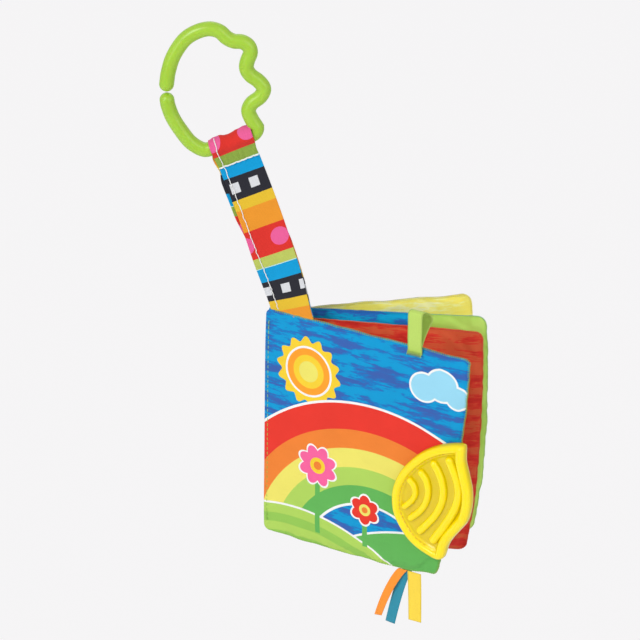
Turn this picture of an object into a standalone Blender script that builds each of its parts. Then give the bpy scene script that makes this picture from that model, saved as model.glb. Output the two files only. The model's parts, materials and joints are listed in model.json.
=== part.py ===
"""Crinkle cloth book that hangs from a plastic link ring.

A printed ribbon strap is looped over the ring and sewn into the top edge of the front cover.
The book has four padded leaves, opened to a narrow fan about its spine. A ribbed teether,
a tag loop and three tail ribbons are sewn to the front cover.

Metres, +Z up. The origin is the ring's hanging point, on the inner side of its top.
The viewer stands on the -Y side. Each leaf has its own frame: X from its spine line to its
fore edge, Y away from the front cover's face, Z up, with zero at its top edge.
"""

import math
from typing import NamedTuple

import bmesh
import bpy
from mathutils import Vector

# Clearance that touching pieces keep
CLEARANCE = 0.0003

# Link ring: width and height of the tube's centre line
RING_TUBE_RADIUS = 0.0036
RING_WIDTH = 0.0490
RING_HEIGHT = 0.0645
RING_GAP = 0.0012
RING_TURN_RADIUS = 0.0045

# The centre line from the upper end over the top and round the bulges, as shares of the
# ring's width and height, measured from the top of the centre line
RING_UPPER_SHARES = [
    (-0.415, -0.350), (-0.361, -0.224), (-0.255, -0.098), (-0.136, -0.031), (0.0, 0.0),
    (0.109, -0.019), (0.185, -0.072), (0.258, -0.100), (0.341, -0.106), (0.404, -0.139),
    (0.424, -0.194), (0.392, -0.263), (0.382, -0.323), (0.422, -0.379), (0.505, -0.429),
    (0.556, -0.491), (0.520, -0.557), (0.431, -0.613), (0.397, -0.677), (0.430, -0.749),
]
RING_LOWER_SHARES = [
    (-0.080, -1.0), (-0.201, -0.942), (-0.298, -0.844), (-0.382, -0.733), (-0.426, -0.635),
]
RING_SEAT_SHARES = (0.2166, -0.936)
RING_END_SHARES = (-0.437, -0.453)
RING_SEAT_RUN = 0.0224
RING_STRAIGHT_SHARES = (0.17, -0.17, -0.5)
RING_CAP_SHARES = (1.0, 0.9, 0.6, 0.3)
RING_CAP_TIP_SHARE = 0.17

# Strap: two plies of one ribbon, from the ring's tube to the front cover's top edge; its
# leans are from the vertical, at even distances from the ring to the cover
STRAP_WIDTH = 0.0220
STRAP_LENGTH = 0.0987
STRAP_PLY = 0.0006
STRAP_SEAM_DROP = 0.0112
STRAP_RING_PLAY = 0.0004
STRAP_LEANS = [math.radians(angle) for angle in (20.0, 19.2, 17.8, 19.4, 16.3)]
STRAP_TWIST_SHARES = (0.415, 1.0)
STRAP_EDGE_SEAM_INSET = 0.0026
STRAP_CROSS_SEAM_SHARES = (-0.98, 0.0, 0.98)
STRAP_SEAT = 0.0166

# Leaves
LEAF_HEIGHT = 0.1325
LEAF_HALF = 0.00145
LEAF_EDGE_HALF = 0.0008
LEAF_CORE_HALF = 0.0001
LEAF_PITCH = 0.0035
LEAF_CROWN_REACH = 0.018
LEAF_CORE_INSET = 0.005
LEAF_LEVEL_SHARES = (0.0, 0.045, 0.16, 0.34, 0.5, 0.66, 0.84, 0.955, 1.0)
LEAF_ACROSS_SHARES = (0.12, 0.34, 0.6, 0.84, 0.955, 1.0)
LEAF_EDGE_SHARES = (0.25, 0.5, 0.75)
FRONT_COVER_WIDTH = 0.1210
RED_LEAF_WIDTH = 0.1150
BLUE_LEAF_WIDTH = 0.1170
BACK_COVER_WIDTH = 0.1113
RED_LEAF_DROP = 0.0045
BLUE_LEAF_DROP = 0.0025
BACK_COVER_DROP = 0.0060
RED_LEAF_FORE_LIFT = -0.0008
BLUE_LEAF_FORE_LIFT = 0.0045
FRONT_COVER_TURN = math.radians(30.5)
RED_LEAF_TURN = math.radians(10.5)
BLUE_LEAF_TURN = math.radians(6.7)
BACK_COVER_TURN = math.radians(-10.4)
FRONT_COVER_CORNER = 0.0024
LEAF_CORNER = 0.0045
BACK_COVER_CORNER = 0.0060

# Threads
EDGE_THREAD_RADIUS = 0.0008
SEAM_THREAD_RADIUS = 0.0002
SPINE_SEAM_INSET = 0.0026
SPINE_SEAM_END = 0.006
EDGE_THREAD_START = 0.004

# Teether, in the front cover's frame; its left end is placed from the fore edge
TEETHER_FORE_INSET = 0.0416
TEETHER_LEFT = FRONT_COVER_WIDTH - TEETHER_FORE_INSET
TEETHER_TOP = -0.0463
TEETHER_WIDTH = 0.0468
TEETHER_HEIGHT = 0.0712
TEETHER_THICKNESS = 0.0055
TEETHER_POCKET = 0.0028
TEETHER_RIM = 0.0040
TEETHER_RIB_WIDTH = 0.0040
TEETHER_RIB_FIRST = 0.0125
TEETHER_RIB_STEP = 0.0089
TEETHER_RIBS = 4
TEETHER_RIB_SWEEP = math.radians(160.0)
INSET_KEEP_SHARE = 0.97
TEETHER_RIB_CENTRE_SHARES = (-0.001, 0.483)
TEETHER_SEAM_INSET = 0.0022
TEETHER_THREAD_RADIUS = 0.00035
TEETHER_TIP_SHARES = ((0.912, 0.005), (0.635, 1.01))
TEETHER_RIGHT_SHARES = [
    (0.902, 0.080), (0.927, 0.160), (0.980, 0.270), (1.0, 0.400), (0.980, 0.550),
    (0.894, 0.690), (0.757, 0.810), (0.706, 0.900), (0.687, 0.970),
]
TEETHER_LEFT_SHARES = [
    (0.500, 0.988), (0.310, 0.935), (0.150, 0.845), (0.040, 0.720), (0.0, 0.585),
    (0.020, 0.455), (0.110, 0.325), (0.250, 0.215), (0.420, 0.120), (0.590, 0.050),
    (0.800, 0.005),
]

# Tag loop, in the front cover's frame
TAG_WIDTH = 0.0080
TAG_PLY = 0.0005
TAG_FORE_INSET = 0.0350
TAG_LEFT = FRONT_COVER_WIDTH - TAG_FORE_INSET
TAG_SEAT = EDGE_THREAD_RADIUS + CLEARANCE
TAG_RISE = 0.0200
TAG_DEPTH = 0.0080
TAG_TACK_DROP = 0.0035
TAG_TACK_HEIGHT = 0.0012
TAG_TACK_DEPTH = 0.0008
TAG_SKEW = 0.0015

# The loop between its two legs, from the back leg over the top to the front leg, as shares
# of the loop's depth and rise
TAG_LOOP_SHARES = [
    (-0.12, 0.08), (0.14, 0.24), (0.50, 0.43), (0.80, 0.56), (0.88, 0.66), (0.74, 0.78),
    (0.40, 0.92), (0.02, 1.0), (-0.24, 0.99), (-0.34, 0.90), (-0.33, 0.60), (-0.32, 0.25),
]

# Tail ribbons, in the front cover's frame
TAIL_WIDTH = 0.0080
TAIL_PLY = 0.0005
TAIL_LENGTH = 0.0310
YELLOW_TAIL_FORE_INSET = 0.0340
YELLOW_TAIL_LEFT = FRONT_COVER_WIDTH - YELLOW_TAIL_FORE_INSET
YELLOW_TAIL_DRIFT = 0.0012
TEAL_TAIL_FORE_INSET = 0.0376
TEAL_TAIL_LEFT = FRONT_COVER_WIDTH - TEAL_TAIL_FORE_INSET
TEAL_TAIL_DRIFT = -0.0090
TEAL_TAIL_NARROW_SHARE = 0.71
TEAL_TAIL_LENGTH_SHARE = 1.177
ORANGE_TAIL_FORE_INSET = 0.0393
ORANGE_TAIL_LEFT = FRONT_COVER_WIDTH - ORANGE_TAIL_FORE_INSET
ORANGE_TAIL_DRIFT = -0.0144
ORANGE_TAIL_NARROW_SHARE = 0.61
ORANGE_TAIL_LENGTH_SHARE = 1.077
TAIL_BELLY = 0.0020
TAIL_DRIFT_POWER = 0.8

# Places across a ribbon's width, and the sharpest fold that is still shaded smooth
RIBBON_SHARES = (0.0, 0.5, 1.0)
SMOOTH_ANGLE = math.radians(40.0)


class Leaf(NamedTuple):
    """One padded leaf: its size, how far it is turned and its place in the stack."""

    name: str
    width: float
    drop: float
    fore_lift: float
    turn: float
    corner: float
    place: int
    fore_shares: tuple
    panels: tuple
    core: str
    core_colour: tuple
    thread_colour: tuple


# The fore edge's share of the width at five even heights, from top to bottom
LEAVES = [
    Leaf("front_cover", FRONT_COVER_WIDTH, 0.0, 0.0, FRONT_COVER_TURN, FRONT_COVER_CORNER, 0,
         (1.0, 0.985, 0.955, 0.915, 0.865),
         (("outer_panel", (0.02, 0.27, 0.55)), ("inner_panel", (0.76, 0.06, 0.04))),
         "crinkle_film", (0.80, 0.82, 0.84), (0.16, 0.50, 0.14)),
    Leaf("red_leaf", RED_LEAF_WIDTH, RED_LEAF_DROP, RED_LEAF_FORE_LIFT, RED_LEAF_TURN,
         LEAF_CORNER, 1,
         (0.995, 1.0, 0.995, 0.980, 0.940),
         (("front_panel", (0.76, 0.06, 0.04)), ("back_panel", (0.80, 0.22, 0.05))),
         "wadding", (0.85, 0.85, 0.83), (0.70, 0.05, 0.03)),
    Leaf("blue_leaf", BLUE_LEAF_WIDTH, BLUE_LEAF_DROP, BLUE_LEAF_FORE_LIFT, BLUE_LEAF_TURN,
         LEAF_CORNER, 2,
         (0.985, 1.0, 1.0, 0.990, 0.950),
         (("front_panel", (0.38, 0.65, 0.11)), ("back_panel", (0.02, 0.27, 0.55))),
         "wadding", (0.85, 0.85, 0.83), (0.16, 0.50, 0.14)),
    Leaf("back_cover", BACK_COVER_WIDTH, BACK_COVER_DROP, 0.0, BACK_COVER_TURN,
         BACK_COVER_CORNER, 3,
         (0.985, 1.0, 1.0, 0.990, 0.950),
         (("inner_panel", (0.87, 0.71, 0.16)), ("outer_panel", (0.02, 0.27, 0.55))),
         "crinkle_film", (0.80, 0.82, 0.84), (0.80, 0.68, 0.12)),
]

STRAP_RED = (0.80, 0.20, 0.06)
LIME = (0.38, 0.65, 0.034)
YELLOW = (0.95, 0.73, 0.01)
WHITE = (0.90, 0.90, 0.88)
GREEN = (0.16, 0.50, 0.14)
ORANGE = (0.85, 0.24, 0.04)
TEAL = (0.01, 0.36, 0.55)


def clear_scene():
    """Remove every object that the file opened with."""
    for old in list(bpy.data.objects):
        bpy.data.objects.remove(old, do_unlink=True)


def material(name, colour, roughness):
    """A plain Principled material."""
    made = bpy.data.materials.new(name)
    made.use_nodes = True
    shader = made.node_tree.nodes["Principled BSDF"]
    shader.inputs["Base Color"].default_value = (*colour, 1.0)
    shader.inputs["Roughness"].default_value = roughness
    shader.inputs["Metallic"].default_value = 0.0
    return made


def link(made, parent, colour, roughness):
    """Put an object in the scene under its parent, with its own material."""
    bpy.context.scene.collection.objects.link(made)
    made.parent = parent
    made.data.materials.append(material(made.name, colour, roughness))
    return made


def empty(name, parent, place, turn=0.0):
    """A parent frame on a joint's axis."""
    made = bpy.data.objects.new(name, None)
    bpy.context.scene.collection.objects.link(made)
    made.parent = parent
    made.location = place
    made.rotation_euler = (0.0, 0.0, turn)
    return made


def mesh_object(name, shape, parent, colour, roughness=0.8):
    """An object from a bmesh, shaded smooth but for its sharp edges."""
    bmesh.ops.recalc_face_normals(shape, faces=shape.faces[:])
    mesh = bpy.data.meshes.new(name)
    shape.to_mesh(mesh)
    shape.free()
    mesh.shade_smooth()
    mesh.set_sharp_from_angle(angle=SMOOTH_ANGLE)
    return link(bpy.data.objects.new(name, mesh), parent, colour, roughness)


def sheet_object(name, front, back, parent, colour, roughness=0.8):
    """A closed sheet between two grids of points, each a list of equal rows."""
    shape = bmesh.new()
    rows, columns = len(front), len(front[0])
    sides = [[[shape.verts.new(point) for point in row] for row in side] for side in (front, back)]
    for near, far in zip(range(rows - 1), range(1, rows)):
        for left, right in zip(range(columns - 1), range(1, columns)):
            for side in sides:
                shape.faces.new(
                    (side[near][left], side[near][right], side[far][right], side[far][left]))
    rim = [(0, column) for column in range(columns)]
    rim += [(row, columns - 1) for row in range(1, rows)]
    rim += [(rows - 1, column) for column in range(columns - 2, -1, -1)]
    rim += [(row, 0) for row in range(rows - 2, 0, -1)]
    for here, there in zip(rim, rim[1:] + rim[:1]):
        corners = [sides[0][here[0]][here[1]], sides[0][there[0]][there[1]],
                   sides[1][there[0]][there[1]], sides[1][here[0]][here[1]]]
        shape.faces.new(corners)
    return mesh_object(name, shape, parent, colour, roughness)


def tube_object(name, points, radius, parent, colour, roughness, resolution=2, swell=None):
    """A tube along points, with filled ends; swell gives each point's share of the radius."""
    curve = bpy.data.curves.new(name, "CURVE")
    curve.dimensions = "3D"
    curve.bevel_depth = radius
    curve.bevel_resolution = resolution
    curve.use_fill_caps = True
    spline = curve.splines.new("POLY")
    spline.points.add(len(points) - 1)
    for index, (knot, point) in enumerate(zip(spline.points, points)):
        knot.co = (*point, 1.0)
        knot.radius = swell[index] if swell else 1.0
    spline.use_smooth = True
    return link(bpy.data.objects.new(name, curve), parent, colour, roughness)


def smooth_path(points, steps):
    """Points on a smooth curve through the given ones."""
    path = []
    ends = [points[0] * 2 - points[1]] + list(points) + [points[-1] * 2 - points[-2]]
    for a, b, c, d in zip(ends, ends[1:], ends[2:], ends[3:]):
        for step in range(steps):
            t = step / steps
            path.append(0.5 * ((2 * b) + (c - a) * t + (2 * a - 5 * b + 4 * c - d) * t * t
                               + (3 * b - a - 3 * c + d) * t * t * t))
    path.append(points[-1])
    return path


def ease(value):
    """Smooth step from 0 to 1."""
    value = min(max(value, 0.0), 1.0)
    return value * value * (3 - 2 * value)


def ease_between(value, span):
    """Smooth step from 0 at the span's start to 1 at its end."""
    return ease((value - span[0]) / (span[1] - span[0]))


# Ring and the seat that its straight run makes for the strap

def ring_point(shares):
    """A point of the ring's centre line from its shares of width and height."""
    return Vector((shares[0] * RING_WIDTH, 0.0, RING_TUBE_RADIUS + shares[1] * RING_HEIGHT))


RING_SEAT = ring_point(RING_SEAT_SHARES)
SEAT_RUN = Vector((math.cos(STRAP_LEANS[0]), 0.0, math.sin(STRAP_LEANS[0])))


def ring_turn():
    """The tight turn from the last bulge into the straight run under the strap."""
    run_end = RING_SEAT + SEAT_RUN * (RING_SEAT_RUN / 2)
    inward = Vector((-SEAT_RUN.z, 0.0, SEAT_RUN.x))
    centre = run_end + inward * RING_TURN_RADIUS
    sweep = math.pi / 2 - STRAP_LEANS[0]
    points = []
    for step in range(5):
        angle = sweep * (1 - step / 4)
        out = SEAT_RUN * math.sin(angle) - inward * math.cos(angle)
        points.append(centre + out * RING_TURN_RADIUS)
    return points


def link_ring():
    """The ring: one round tube with a small gap, three bulges and a straight run."""
    turn = ring_turn()
    upper_end = ring_point(RING_END_SHARES)
    drop = 2 * RING_TUBE_RADIUS + RING_GAP
    lower_end = upper_end - Vector((0.0, 0.0, drop))
    upper = [upper_end] + [ring_point(shares) for shares in RING_UPPER_SHARES]
    lower = [ring_point(shares) for shares in RING_LOWER_SHARES] + [lower_end]
    straight = [RING_SEAT + SEAT_RUN * (RING_SEAT_RUN * share)
                for share in RING_STRAIGHT_SHARES]
    path = smooth_path(upper + turn[:1], 3)[:-1] + turn
    path += straight[:-2] + smooth_path(straight[-2:] + lower, 4)
    starts, swell = [], []
    for share in RING_CAP_SHARES:
        starts.append(share * RING_TUBE_RADIUS)
        swell.append(max(math.sqrt(1 - share * share), RING_CAP_TIP_SHARE))
    up = (path[0] - path[1]).normalized()
    down = (path[-1] - path[-2]).normalized()
    points = [path[0] + up * reach for reach in starts] + path
    points += [path[-1] + down * reach for reach in reversed(starts)]
    shares = swell + [1.0] * len(path) + swell[::-1]
    return tube_object("link_ring", points, RING_TUBE_RADIUS, None, LIME, 0.3, 4, shares)


# Strap

def strap_frame(run):
    """The strap's centre, width direction and front normal at a distance below its seat."""
    steps = 64
    place = Vector()
    share = run / STRAP_LENGTH
    if run <= 0.0:
        down, across, front = strap_directions(0.0)
        return place + down * run, across, front
    for step in range(steps):
        down = strap_directions(share * (step + 0.5) / steps)[0]
        place = place + down * (run / steps)
    down, across, front = strap_directions(share)
    return place, across, front


def strap_directions(share):
    """Down, across and front of the strap at a share of its length."""
    turn = FRONT_COVER_TURN * ease_between(share, STRAP_TWIST_SHARES)
    place = min(max(share, 0.0), 1.0) * (len(STRAP_LEANS) - 1)
    index = min(int(place), len(STRAP_LEANS) - 2)
    low, high = STRAP_LEANS[index:index + 2]
    lean = low + (high - low) * ease(place - index)
    level = Vector((math.cos(turn), -math.sin(turn), 0.0))
    up = Vector((0.0, 0.0, 1.0))
    down = level * math.sin(lean) - up * math.cos(lean)
    across = level * math.cos(lean) + up * math.sin(lean)
    return down, across, Vector((-math.sin(turn), -math.cos(turn), 0.0))


def strap_point(run, side, out):
    """A point of the strap: below its seat, across from the middle, out of its middle plane.
    Below the seam the runs stretch with the side, so that the slanted end is level."""
    if run > STRAP_SEAM_DROP:
        reach = STRAP_LENGTH - STRAP_SEAM_DROP
        slant = side * math.tan(STRAP_LEANS[-1])
        run = STRAP_SEAM_DROP + (run - STRAP_SEAM_DROP) * (reach + slant) / reach
    place, across, front = strap_frame(run)
    return place + across * side + front * out


def strap_section():
    """The ribbon's middle line: (run, out, normal run, normal out), front ply to back ply."""
    radius = RING_TUBE_RADIUS + STRAP_RING_PLAY + STRAP_PLY / 2
    out = (CLEARANCE + STRAP_PLY) / 2
    ply = [(STRAP_SEAM_DROP + (STRAP_LENGTH - STRAP_SEAM_DROP) * step / 12, out, 0.0, 1.0)
           for step in range(12, -1, -1)]
    reach = math.hypot(STRAP_SEAM_DROP, out)
    start = math.atan2(out, STRAP_SEAM_DROP) + math.acos(radius / reach)
    arc = []
    for step in range(11):
        angle = start + (2 * math.pi - 2 * start) * step / 10
        arc.append((radius * math.cos(angle), radius * math.sin(angle),
                    math.cos(angle), math.sin(angle)))
    back = [(run, -away, 0.0, -1.0) for run, away, _, _ in reversed(ply)]
    return ply + arc + back


def strap(parent):
    """The ribbon, doubled over the ring's tube."""
    sides = [STRAP_WIDTH * (column / 4 - 0.5) for column in range(5)]
    outer, inner = [], []
    for run, out, normal_run, normal_out in strap_section():
        half = STRAP_PLY / 2
        outer.append([strap_point(run + normal_run * half, side, out + normal_out * half)
                      for side in sides])
        inner.append([strap_point(run - normal_run * half, side, out - normal_out * half)
                      for side in sides])
    return sheet_object("strap", outer, inner, parent, STRAP_RED)


def strap_seams(parent):
    """The threads across the strap under the ring and along its left edge."""
    out = CLEARANCE / 2 + STRAP_PLY + CLEARANCE + SEAM_THREAD_RADIUS
    half = STRAP_WIDTH / 2
    across = [strap_point(STRAP_SEAM_DROP, half * share, out)
              for share in STRAP_CROSS_SEAM_SHARES]
    tube_object("strap_cross_seam", across, SEAM_THREAD_RADIUS, parent, WHITE, 0.7, 1)
    side = -half + STRAP_EDGE_SEAM_INSET
    start = STRAP_SEAM_DROP + CLEARANCE + 2 * SEAM_THREAD_RADIUS
    runs = [start + (STRAP_LENGTH - CLEARANCE - start) * step / 16 for step in range(17)]
    along = [strap_point(run, side, out) for run in runs]
    tube_object("strap_edge_seam", along, SEAM_THREAD_RADIUS, parent, WHITE, 0.7, 1)


# Leaves

def fore_edge(leaf, depth):
    """A leaf's width at a depth below its top."""
    place = min(max(depth / LEAF_HEIGHT, 0.0), 1.0) * (len(leaf.fore_shares) - 1)
    index = min(int(place), len(leaf.fore_shares) - 2)
    low, high = leaf.fore_shares[index:index + 2]
    return leaf.width * (low + (high - low) * (place - index))


def leaf_spot(leaf, x, out, depth):
    """A point of a leaf. Its foot rises by its drop at the spine, so that it ends level with
    the cover, and by its own lift at the fore edge."""
    share = x / leaf.width
    rise = (depth / LEAF_HEIGHT) * (leaf.drop * (1 - share) + leaf.fore_lift * share)
    return Vector((x, out, rise - depth))


def half_thickness(leaf, x, depth):
    """Half the leaf's thickness: thin at its three free edges, full and flat in the middle."""
    edge = min(depth, LEAF_HEIGHT - depth, fore_edge(leaf, depth) - x)
    rise = ease(edge / LEAF_CROWN_REACH)
    return LEAF_EDGE_HALF + (LEAF_HALF - LEAF_EDGE_HALF) * rise


def leaf_panel(leaf, frame, name, side, colour):
    """One face of a leaf with its padding; side is -1 for the front and 1 for the back."""
    inset = EDGE_THREAD_RADIUS + CLEARANCE
    inner = LEAF_CORE_HALF + CLEARANCE
    spine_angles = [math.asin(inner / LEAF_EDGE_HALF) * (1 - step / 3) + math.pi / 2 * step / 3
                    for step in range(4)]
    outer_grid, inner_grid = [], []
    for level, level_share in enumerate(LEAF_LEVEL_SHARES):
        depth = inset + (LEAF_HEIGHT - 2 * inset) * level_share
        reach = fore_edge(leaf, depth) - inset
        thick = half_thickness(leaf, 0.0, depth)
        outer = []
        for angle in spine_angles:
            x = -LEAF_HALF * math.cos(angle)
            outer.append((x, depth, thick * math.sin(angle)))
        for share in LEAF_ACROSS_SHARES:
            outer.append((reach * share, depth, half_thickness(leaf, reach * share, depth)))
        if level in (0, len(LEAF_LEVEL_SHARES) - 1):
            outer[-1] = rounded_corner(leaf, outer[-1], level == 0)
        outer_row = [leaf_spot(leaf, x, side * out, deep) for x, deep, out in outer]
        inner_row = [leaf_spot(leaf, x, side * inner, deep) for x, deep, _ in outer]
        outer_grid.append(outer_row)
        inner_grid.append(inner_row)
    return sheet_object(f"{leaf.name}_{name}", outer_grid, inner_grid, frame, colour, 0.85)


def rounded_corner(leaf, corner, top):
    """A corner point of the panel, drawn in along its diagonal to the corner's arc."""
    x, depth, out = corner
    draw = leaf.corner * (1 - math.sqrt(0.5))
    return x - draw, depth + (draw if top else -draw), out


def leaf_core(leaf, frame):
    """The thin sheet between a leaf's two panels."""
    levels = [LEAF_CORE_INSET + (LEAF_HEIGHT - 2 * LEAF_CORE_INSET) * step / 4
              for step in range(5)]
    grids = []
    for out in (-LEAF_CORE_HALF, LEAF_CORE_HALF):
        rows = []
        for depth in levels:
            ends = (LEAF_CORE_INSET, fore_edge(leaf, depth) - LEAF_CORE_INSET)
            rows.append([leaf_spot(leaf, x, out, depth) for x in ends])
        grids.append(rows)
    sheet_object(f"{leaf.name}_{leaf.core}", grids[0], grids[1], frame, leaf.core_colour, 0.4)


def corner_arc(leaf, top):
    """The round corner where the fore edge meets the top or the bottom, from the fore edge."""
    end = 0.0 if top else LEAF_HEIGHT
    start_depth = leaf.corner if top else LEAF_HEIGHT - leaf.corner
    corner = Vector((fore_edge(leaf, end), end))
    start = Vector((fore_edge(leaf, start_depth), start_depth)) - corner
    finish = Vector((-leaf.corner, 0.0))
    points = []
    for step in range(4):
        angle = math.pi / 2 * step / 3
        points.append(corner + start * (1 - math.sin(angle)) + finish * (1 - math.cos(angle)))
    return points


def edge_path(leaf):
    """The thread's line round a leaf's top, fore edge and bottom, with round corners."""
    points = [Vector((EDGE_THREAD_START, 0.0)), Vector((fore_edge(leaf, 0.0) / 2, 0.0))]
    points += corner_arc(leaf, True)[::-1]
    for share in LEAF_EDGE_SHARES:
        depth = LEAF_HEIGHT * share
        points.append(Vector((fore_edge(leaf, depth), depth)))
    points += corner_arc(leaf, False)
    points.append(Vector((fore_edge(leaf, LEAF_HEIGHT) / 2, LEAF_HEIGHT)))
    points.append(Vector((EDGE_THREAD_START, LEAF_HEIGHT)))
    return [leaf_spot(leaf, point.x, 0.0, point.y) for point in points]


def build_leaf(leaf, frame):
    """Two panels, the sheet between them and the thread round the edges."""
    for side, (name, colour) in zip((-1, 1), leaf.panels):
        leaf_panel(leaf, frame, name, side, colour)
    leaf_core(leaf, frame)
    tube_object(f"{leaf.name}_edge_thread", edge_path(leaf), EDGE_THREAD_RADIUS, frame,
                leaf.thread_colour, 0.7)


def spine_seam(frame):
    """The topstitch down the front cover, close to its spine edge."""
    x = SPINE_SEAM_INSET - LEAF_HALF
    out = -(LEAF_HALF + CLEARANCE + SEAM_THREAD_RADIUS)
    ends = (-SPINE_SEAM_END, SPINE_SEAM_END - LEAF_HEIGHT)
    points = [Vector((x, out, z)) for z in ends]
    tube_object("spine_seam", points, SEAM_THREAD_RADIUS, frame, GREEN, 0.7, 1)


# Teether

def teether_point(shares):
    """A point of the teether's outline from its shares of width and height."""
    return Vector((shares[0] * TEETHER_WIDTH, 0.0, -shares[1] * TEETHER_HEIGHT))


def teether_outline():
    """The closed outline, clockwise from the upper tip, with both tips left sharp."""
    upper, lower = [teether_point(shares) for shares in TEETHER_TIP_SHARES]
    right = [teether_point(shares) for shares in TEETHER_RIGHT_SHARES]
    left = [teether_point(shares) for shares in TEETHER_LEFT_SHARES]
    return (smooth_path([upper] + right + [lower], 2)[:-1]
            + smooth_path([lower] + left + [upper], 2)[:-1])


def distance_to_outline(point, outline):
    """The least distance from a point to a closed outline in the XZ plane."""
    least = math.inf
    for start, end in zip(outline, outline[1:] + outline[:1]):
        run = end - start
        share = min(max((point - start).dot(run) / run.length_squared, 0.0), 1.0)
        least = min(least, (point - start - run * share).length)
    return least


def inset_outline(outline, inset):
    """The outline moved inwards; points that a tight corner would cross over are left out."""
    moved = []
    for before, here, after in zip(outline[-1:] + outline[:-1], outline,
                                   outline[1:] + outline[:1]):
        along = (here - before).normalized() + (after - here).normalized()
        along.normalize()
        spot = here + Vector((along.z, 0.0, -along.x)) * inset
        if distance_to_outline(spot, outline) > inset * INSET_KEEP_SHARE:
            moved.append(spot)
    return moved


def prism(name, outline, start, end, parent, colour, roughness=0.35):
    """An outline in the XZ plane, extruded along Y from start to end."""
    shape = bmesh.new()
    face = shape.faces.new([shape.verts.new((point.x, start, point.z)) for point in outline])
    made = bmesh.ops.extrude_face_region(shape, geom=[face])
    moved = [item for item in made["geom"] if isinstance(item, bmesh.types.BMVert)]
    bmesh.ops.translate(shape, verts=moved, vec=(0.0, end - start, 0.0))
    return mesh_object(name, shape, parent, colour, roughness)


def cutter(made):
    """Mark an object as a cutter, which isn't part of the model."""
    made.hide_render = True
    made.display_type = "WIRE"
    return made


def boolean(target, operation, tool):
    """An exact Boolean of the target with a tool."""
    step = target.modifiers.new(tool.name, "BOOLEAN")
    step.operation = operation
    step.solver = "EXACT"
    step.object = tool


def rib_cutter(index, parent):
    """One rib's ring, which keeps its material when the field round it is sunk."""
    centre = teether_point(TEETHER_RIB_CENTRE_SHARES)
    middle = TEETHER_RIB_FIRST + TEETHER_RIB_STEP * index
    half = TEETHER_RIB_WIDTH / 2
    steps = 16 + 4 * index
    arc = [TEETHER_RIB_SWEEP * (step / steps - 0.5) for step in range(steps + 1)]
    points = [centre + Vector((math.cos(a), 0.0, math.sin(a))) * (middle + half) for a in arc]
    points += [centre + Vector((math.cos(a), 0.0, math.sin(a))) * (middle - half)
               for a in reversed(arc)]
    overrun = TEETHER_THICKNESS
    return cutter(prism(f"rib_ring_{index + 1}", points, -TEETHER_THICKNESS - 2 * overrun,
                        overrun, parent, YELLOW))


def teether(parent):
    """The leaf shaped teether: a rim, a sunk field and four curved ribs."""
    outline = teether_outline()
    body = prism("ribbed_teether", outline, -TEETHER_THICKNESS, 0.0, parent, YELLOW)
    floor = TEETHER_POCKET - TEETHER_THICKNESS
    field = cutter(prism("teether_field", inset_outline(outline, TEETHER_RIM),
                         -TEETHER_THICKNESS * 2, floor, parent, YELLOW))
    for index in range(TEETHER_RIBS):
        boolean(field, "DIFFERENCE", rib_cutter(index, parent))
    boolean(body, "DIFFERENCE", field)
    seam_line = inset_outline(outline, TEETHER_SEAM_INSET)
    half_right = 2 * (len(TEETHER_RIGHT_SHARES) + 1)
    left = seam_line[half_right + 2:half_right + 2 * len(TEETHER_LEFT_SHARES) - 2]
    out = -(TEETHER_THICKNESS + CLEARANCE + TEETHER_THREAD_RADIUS)
    points = [point + Vector((0.0, out, 0.0)) for point in left]
    tube_object("teether_seam", points, TEETHER_THREAD_RADIUS, parent, YELLOW, 0.6, 1)


# Tag loop and tail ribbons

def tag_section():
    """The loop's middle line in the frame's YZ plane, from its back leg to its front leg."""
    seat = -(TAG_SEAT + TAG_PLY / 2)
    front = seat - TAG_PLY - CLEARANCE
    foot = -TAG_TACK_DROP
    points = [Vector((seat, foot))]
    points.append(Vector((seat, 0.0)))
    points += [Vector((out * TAG_DEPTH, up * TAG_RISE)) for out, up in TAG_LOOP_SHARES]
    points += [Vector((front, 0.0)), Vector((front, foot))]
    return smooth_path(points, 2)


def tag_loop(parent):
    """The folded ribbon, sewn down at its foot; its back leg stands a little to the right."""
    line = tag_section()
    outer, inner = [], []
    for index, here in enumerate(line):
        before = line[max(index - 1, 0)]
        after = line[min(index + 1, len(line) - 1)]
        along = (after - before).normalized()
        normal = Vector((-along.y, along.x))
        up_share = max(here.y, 0.0) / TAG_RISE
        shift = TAG_SKEW * up_share * (here.x / TAG_DEPTH + 0.5)
        for rows, sign in ((outer, -0.5), (inner, 0.5)):
            spot = here + normal * (TAG_PLY * sign)
            rows.append([Vector((shift + TAG_WIDTH * share, spot.x + TAG_SEAT,
                                 spot.y + TAG_TACK_DROP)) for share in RIBBON_SHARES])
    return sheet_object("tag_loop", outer, inner, parent, GREEN, 0.7)


def tag_tack(parent):
    """The bar of thread that holds both legs of the tag loop."""
    front = -(2 * CLEARANCE + 2 * TAG_PLY)
    outline = [Vector((x, 0.0, z)) for x, z in (
        (0.0, 0.0), (TAG_WIDTH, 0.0), (TAG_WIDTH, TAG_TACK_HEIGHT), (0.0, TAG_TACK_HEIGHT))]
    return prism("tag_bar_tack", outline, front - TAG_TACK_DEPTH, front, parent, GREEN, 0.8)


def tail_ribbon(name, frame, left, drift, out, narrow, length, belly, colour):
    """A ribbon that hangs from the bottom seam, drifting sideways as it falls."""
    start = EDGE_THREAD_RADIUS + CLEARANCE
    front, back = [], []
    steps = 8
    for step in range(steps + 1):
        share = step / steps
        fall = start + (TAIL_LENGTH * length - start) * share
        x = left + drift * share ** TAIL_DRIFT_POWER
        bow = out - belly * math.sin(math.pi * share)
        for rows, sign in ((front, -0.5), (back, 0.5)):
            rows.append([Vector((x + TAIL_WIDTH * narrow * side, bow + TAIL_PLY * sign, -fall))
                         for side in RIBBON_SHARES])
    return sheet_object(name, front, back, frame, colour, 0.6)


clear_scene()
link_ring()

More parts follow.
